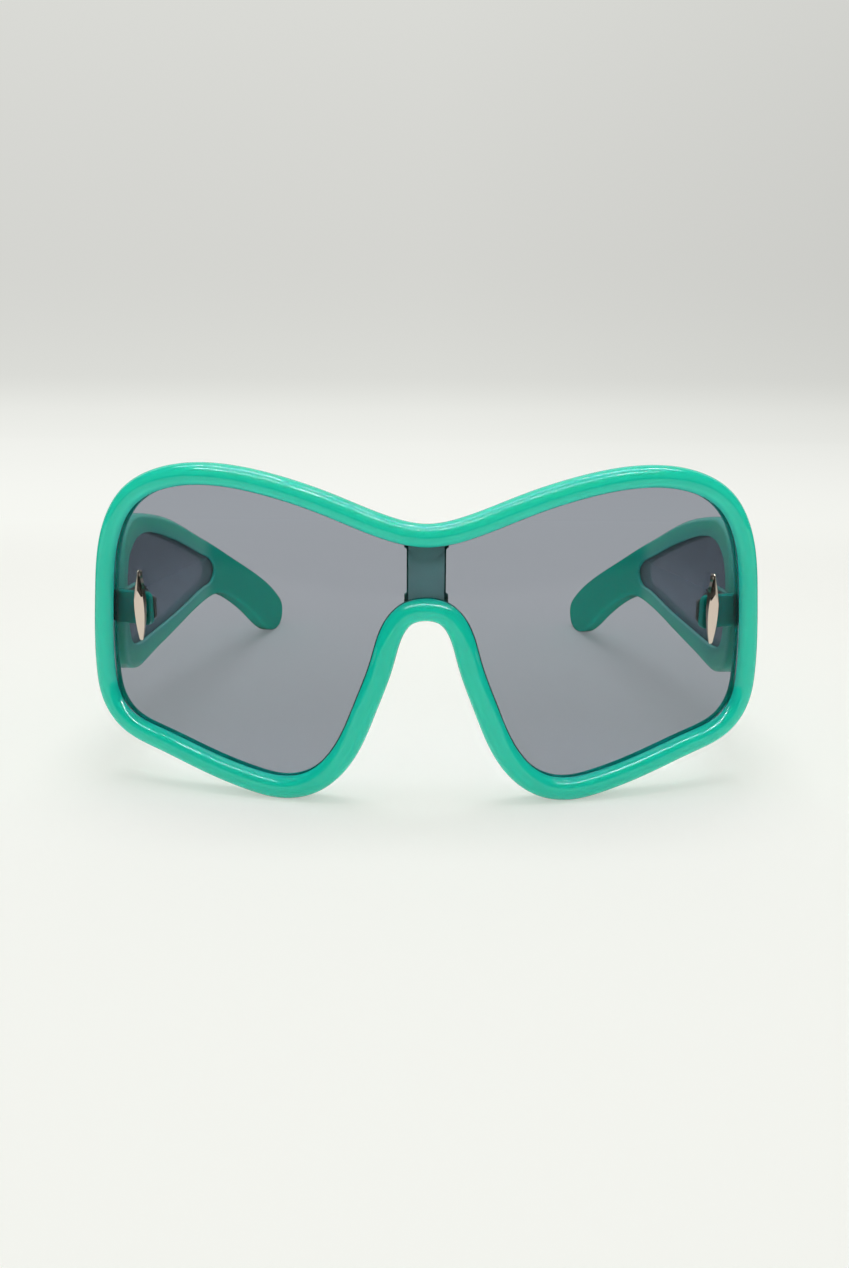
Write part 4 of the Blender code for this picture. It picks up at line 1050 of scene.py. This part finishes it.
class SUNGLASSES_OT_front(bpy.types.Operator):
    """Make the front moulding: the rim, the bar behind the lens and the two hinge tabs"""
    bl_idname = "sunglasses.front"
    bl_label = "Front moulding"

    def execute(self, context):
        rim, shade = rim_shell()
        tabs = [tab for side in SIDES.values() for tab in mirrored([tab_shell()], side)]
        # The hinge tabs get a little painted shade
        shade = np.append(shade, np.full(sum(len(points) for points, _ in tabs), TAB_PAINTED_SHADE))
        make_piece("front_moulding", [rim] + tabs, finish_of(front_acetate), "front",
                   ["front_frame"], shade=shade)
        make_piece("bridge_bar", [bar_shell()], finish_of(thin_acetate), "front")
        return {"FINISHED"}


class SUNGLASSES_OT_shield_lens(bpy.types.Operator):
    """Make the one lens for both eyes"""
    bl_idname = "sunglasses.shield_lens"
    bl_label = "Shield lens"

    def execute(self, context):
        make_piece("smoke_shield", [lens_shell()], finish_of(smoke_lens), "front",
                   ["shield_lens"], 30.0)
        return {"FINISHED"}


class SUNGLASSES_OT_plaques(bpy.types.Operator):
    """Make the two faceted metal plaques with their posts"""
    bl_idname = "sunglasses.plaques"
    bl_label = "Plaques"

    def execute(self, context):
        for name, side in SIDES.items():
            make_piece(name + "_faceted_plaque", mirrored(plaque_shells(), side),
                       finish_of(pale_gold), "front", [name + "_plaque"], 4.0)
        return {"FINISHED"}


class SUNGLASSES_OT_temples(bpy.types.Operator):
    """Make the two temples with their hinge tabs, and the lenses in their windows"""
    bl_idname = "sunglasses.temples"
    bl_label = "Temples"

    def execute(self, context):
        for name, side in SIDES.items():
            arm = name + "_arm"
            shells = mirrored(temple_shells() + [temple_tab_shell()], side)
            make_piece(name + "_temple_moulding", shells, finish_of(temple_acetate), arm,
                       [name + "_temple"])
            make_piece(name + "_window_lens", mirrored([side_lens_shell()], side),
                       finish_of(dark_side_lens), arm, [name + "_side_lens"], 30.0)
        return {"FINISHED"}


class SUNGLASSES_OT_hinges(bpy.types.Operator):
    """Make the hinges: leaves with knuckles, slotted screws and rivets"""
    bl_idname = "sunglasses.hinges"
    bl_label = "Hinges"

    def execute(self, context):
        for name, side in SIDES.items():
            arm = name + "_arm"
            for piece, shells, body, node in (
                    ("_front_leaf", front_leaf_shells(), "front", "_front_hinge_leaf"),
                    ("_slotted_screw", screw_shells(), "front", "_hinge_screw"),
                    ("_temple_leaf", temple_leaf_shells(), arm, "_temple_hinge_leaf"),
                    ("_front_rivet", rivet_shells(RIVET_SHARES[0]), arm, "_temple_front_rivet"),
                    ("_rear_rivet", rivet_shells(RIVET_SHARES[1]), arm, "_temple_rear_rivet")):
                make_piece(name + piece, mirrored(shells, side), finish_of(nickel_silver), body,
                           [name + node], 30.0)
        return {"FINISHED"}


class SUNGLASSES_OT_stage(bpy.types.Operator):
    """Make the white table and its backdrop, the lamps, the world and the camera"""
    bl_idname = "sunglasses.stage"
    bl_label = "Stage"

    def execute(self, context):
        make_sweep()
        make_world()
        make_lamps()
        make_camera()
        context.scene.view_settings.view_transform = "Standard"
        return {"FINISHED"}


# Stage

def make_sweep():
    """A table that curves up into a backdrop: a line, a quarter circle and a line, carried
    sideways."""
    turn = quarter(24)
    curve = np.column_stack([BACK_Y - SWEEP_RADIUS + SWEEP_RADIUS * np.sin(turn),
                             SWEEP_RADIUS * (1.0 - np.cos(turn))])
    flat = [(-1.2, 0.0), (-0.3, 0.0), (0.3, 0.0)]
    profile = np.vstack([flat, curve, [(BACK_Y, SWEEP_TALL)]])
    points = np.zeros((len(profile), 3, 3))
    points[:, :, 0] = np.linspace(-SWEEP_HALF, SWEEP_HALF, 3)
    points[:, :, 1:] = profile[:, None, :]
    points, quads = grid_shell(points)
    mesh = bpy.data.meshes.new("table_sweep")
    mesh.from_pydata(points.tolist(), [], quads[:, ::-1].tolist())
    mesh.shade_smooth()
    mesh.materials.append(table_paper())
    add_object("table_sweep", mesh)


def table_paper():
    """Matt white paper under even light. Near the object it takes the lamps' light and the
    object's shadow, which a share of even glow lightens with painted light; further back, what the
    camera and reflections see fades to painted light and shade on the backdrop, from white at the
    table's end to grey above. Polished faces see the table dark before its lit edge and grey behind
    the object."""
    finish = chosen("finish")
    material, tree, where = new_material("white_table_paper")
    x, y, z = axes_of(tree, where)
    rays = add_node(tree, "LightPath").outputs
    lit = add_node(tree, "BsdfDiffuse", {"Color": finish.table}).outputs[0]
    # The backdrop's painted light and shade: colours along a mix of height and distance, which
    # darken to the right
    reach = calc(tree, "MULTIPLY_ADD", z, 0.57, calc(tree, "MULTIPLY_ADD", y, 0.4, -0.04))
    ramp = add_node(tree, "ValToRGB", {0: reach})
    ramp.color_ramp.interpolation = "B_SPLINE"
    for k, (place, tone) in enumerate(BACKDROP_PAINTED_FALLOFF_STOPS):
        stops = ramp.color_ramp.elements
        stop = stops[k] if k < 2 else stops.new(place)
        stop.position, stop.color = place, linear(tone)
    backdrop = glow(tree, ramp.outputs[0], ramped(tree, x, 0.0, 0.8, 1.0, 0.9))
    # How much of it is seen at each distance, by the camera, through a lens or in a mirror
    seen = calc(tree, "MAXIMUM", rays["Is Camera Ray"], rays["Is Transmission Ray"])
    seen = calc(tree, "MAXIMUM", seen, rays["Is Glossy Ray"])
    seen = calc(tree, "MULTIPLY", seen, eased(tree, y, 0.10, 0.35, NEAR_SHARE))
    paper = layered(tree, seen, lit, backdrop)
    # What polished faces see instead, low down
    ahead = ramped(tree, y, TABLE_EDGE_Y + 0.01, TABLE_EDGE_Y - 0.01)
    behind = ramped(tree, y, -0.04, 0.04)
    dark = glow(tree, tinted(tree, behind, finish.room, finish.hall))
    dim = calc(tree, "MULTIPLY", calc(tree, "MAXIMUM", ahead, behind), ramped(tree, z, 0.10, 0.02))
    dim = calc(tree, "MULTIPLY", dim, mirrored_ray(tree, rays))
    return finished(material, layered(tree, dim, paper, dark))


def mirrored_ray(tree, rays):
    """1 for a ray from a mirroring face, also when it then comes out through a lens; rays that only
    go through lenses have no glossy depth."""
    bounced = calc(tree, "GREATER_THAN", rays["Glossy Depth"], 0.5)
    return calc(tree, "MULTIPLY", bounced, rays["Is Glossy Ray"])


def make_world():
    """A white tent that lights the object from all round and most from above. Polished faces see
    the backdrop's wall behind the object and the roof overhead; in front they see a dark room."""
    finish = chosen("finish")
    world = bpy.data.worlds.new("studio_world")
    bpy.context.scene.world = world
    world.use_nodes = True
    tree = world.node_tree
    tree.nodes.clear()
    _, y, z = axes_of(tree, add_node(tree, "TexCoord").outputs["Generated"])
    rays = add_node(tree, "LightPath").outputs
    tent = tinted(tree, eased(tree, y, -0.15, -0.85), finish.tent, finish.open_tent)
    power = calc(tree, "MULTIPLY_ADD", calc(tree, "MULTIPLY", z, z), 0.47, 0.52)
    even = glow(tree, tent, power, "Background")
    sight = tinted(tree, eased(tree, y, 0.75, 0.35), finish.wall, finish.room)
    roof = calc(tree, "MULTIPLY", eased(tree, z, 0.45, 0.80), eased(tree, y, -0.40, -0.10))
    mirror = glow(tree, tinted(tree, roof, sight, finish.roof), 1.0, "Background")
    plain = glow(tree, finish.wall, 1.0, "Background")
    shown = layered(tree, mirrored_ray(tree, rays), even, mirror)
    shown = layered(tree, rays["Is Camera Ray"], shown, plain)
    add_node(tree, "OutputWorld", {"Surface": shown})


def make_lamp(name, place, width, depth, energy):
    """A rectangular lamp that shines straight down."""
    lamp = bpy.data.lights.new(name, "AREA")
    lamp.shape = "RECTANGLE"
    lamp.size, lamp.size_y, lamp.energy = width, depth, energy
    light = add_object(name, lamp)
    light.location = place
    return light


def make_lamps():
    """A broad soft box overhead, and rows of small lamps that only polished faces reflect: along a
    row, each lamp lights a share of its place."""
    box = make_lamp("soft_box", (0.0, 0.0, SOFT_BOX_HEIGHT), SOFT_BOX_SIDE, SOFT_BOX_SIDE,
                    SOFT_BOX_WATTS)
    box.visible_glossy = False
    for name, place in LAMP_ROWS.items():
        light = make_lamp(name, place, ROW_LENGTH, ROW_WIDTH, ROW_WATTS)
        aim = Vector((0.0, FRONT_Y, 0.05)) - Vector(place)
        light.rotation_euler = aim.to_track_quat("-Z", "Y").to_euler()
        light.visible_diffuse = False
        light.data.use_nodes = True
        tree = light.data.node_tree
        tree.nodes.clear()
        x, y, _ = axes_of(tree, add_node(tree, "NewGeometry").outputs["Parametric"])
        dots = calc(tree, "MULTIPLY_ADD", calc(tree, "ADD", x, y), -ROW_LAMPS, ROW_LAMPS)
        lit = calc(tree, "LESS_THAN", calc(tree, "FRACT", dots), LIT_SHARE)
        add_node(tree, "OutputLight", {"Surface": glow(tree, "#ffffff", lit)})


def make_camera():
    """The camera of the photograph: in front of the lens, a little above, looking down."""
    data = bpy.data.cameras.new("camera")
    data.sensor_width, data.lens, data.clip_start = 36.0, 27.0, 0.01
    camera = add_object("camera", data)
    yaw, pitch, roll = (math.radians(turn) for turn in CAMERA_TURNS)
    camera.matrix_world = (Matrix.Translation((0.0, FRONT_Y - CAMERA_AWAY, CAMERA_HEIGHT))
                           @ Matrix.Rotation(yaw, 4, "Z") @ Matrix.Rotation(pitch, 4, "X")
                           @ Matrix.Rotation(roll, 4, "Z"))
    bpy.context.scene.camera = camera


class SUNGLASSES_PT_panel(bpy.types.Panel):
    """Lists the sizes, the colours and the operators"""
    bl_idname = "SUNGLASSES_PT_panel"
    bl_label = "Sunglasses"
    bl_space_type = "VIEW_3D"
    bl_region_type = "UI"
    bl_category = "Sunglasses"

    def draw(self, context):
        for operator in OPERATORS:
            self.layout.operator(operator.bl_idname)
        for name, group in GROUPS.items():
            box = self.layout.box()
            box.label(text=group.__doc__)
            for prop in group.__annotations__:
                box.prop(getattr(context.scene, name), prop)


OPERATORS = (SUNGLASSES_OT_stage, SUNGLASSES_OT_front, SUNGLASSES_OT_shield_lens,
             SUNGLASSES_OT_plaques, SUNGLASSES_OT_temples, SUNGLASSES_OT_hinges)


def register():
    for cls in (*GROUPS.values(), *OPERATORS, SUNGLASSES_PT_panel):
        bpy.utils.register_class(cls)
    for name, group in GROUPS.items():
        setattr(bpy.types.Scene, name, PointerProperty(type=group))


def unregister():
    for name in GROUPS:
        delattr(bpy.types.Scene, name)
    for cls in (SUNGLASSES_PT_panel, *OPERATORS[::-1], *list(GROUPS.values())[::-1]):
        bpy.utils.unregister_class(cls)


def main():
    register()
    bpy.ops.sunglasses.stage()
    bpy.ops.sunglasses.front()
    bpy.ops.sunglasses.shield_lens()
    bpy.ops.sunglasses.plaques()
    bpy.ops.sunglasses.temples()
    bpy.ops.sunglasses.hinges()


if __name__ == "__main__":
    main()
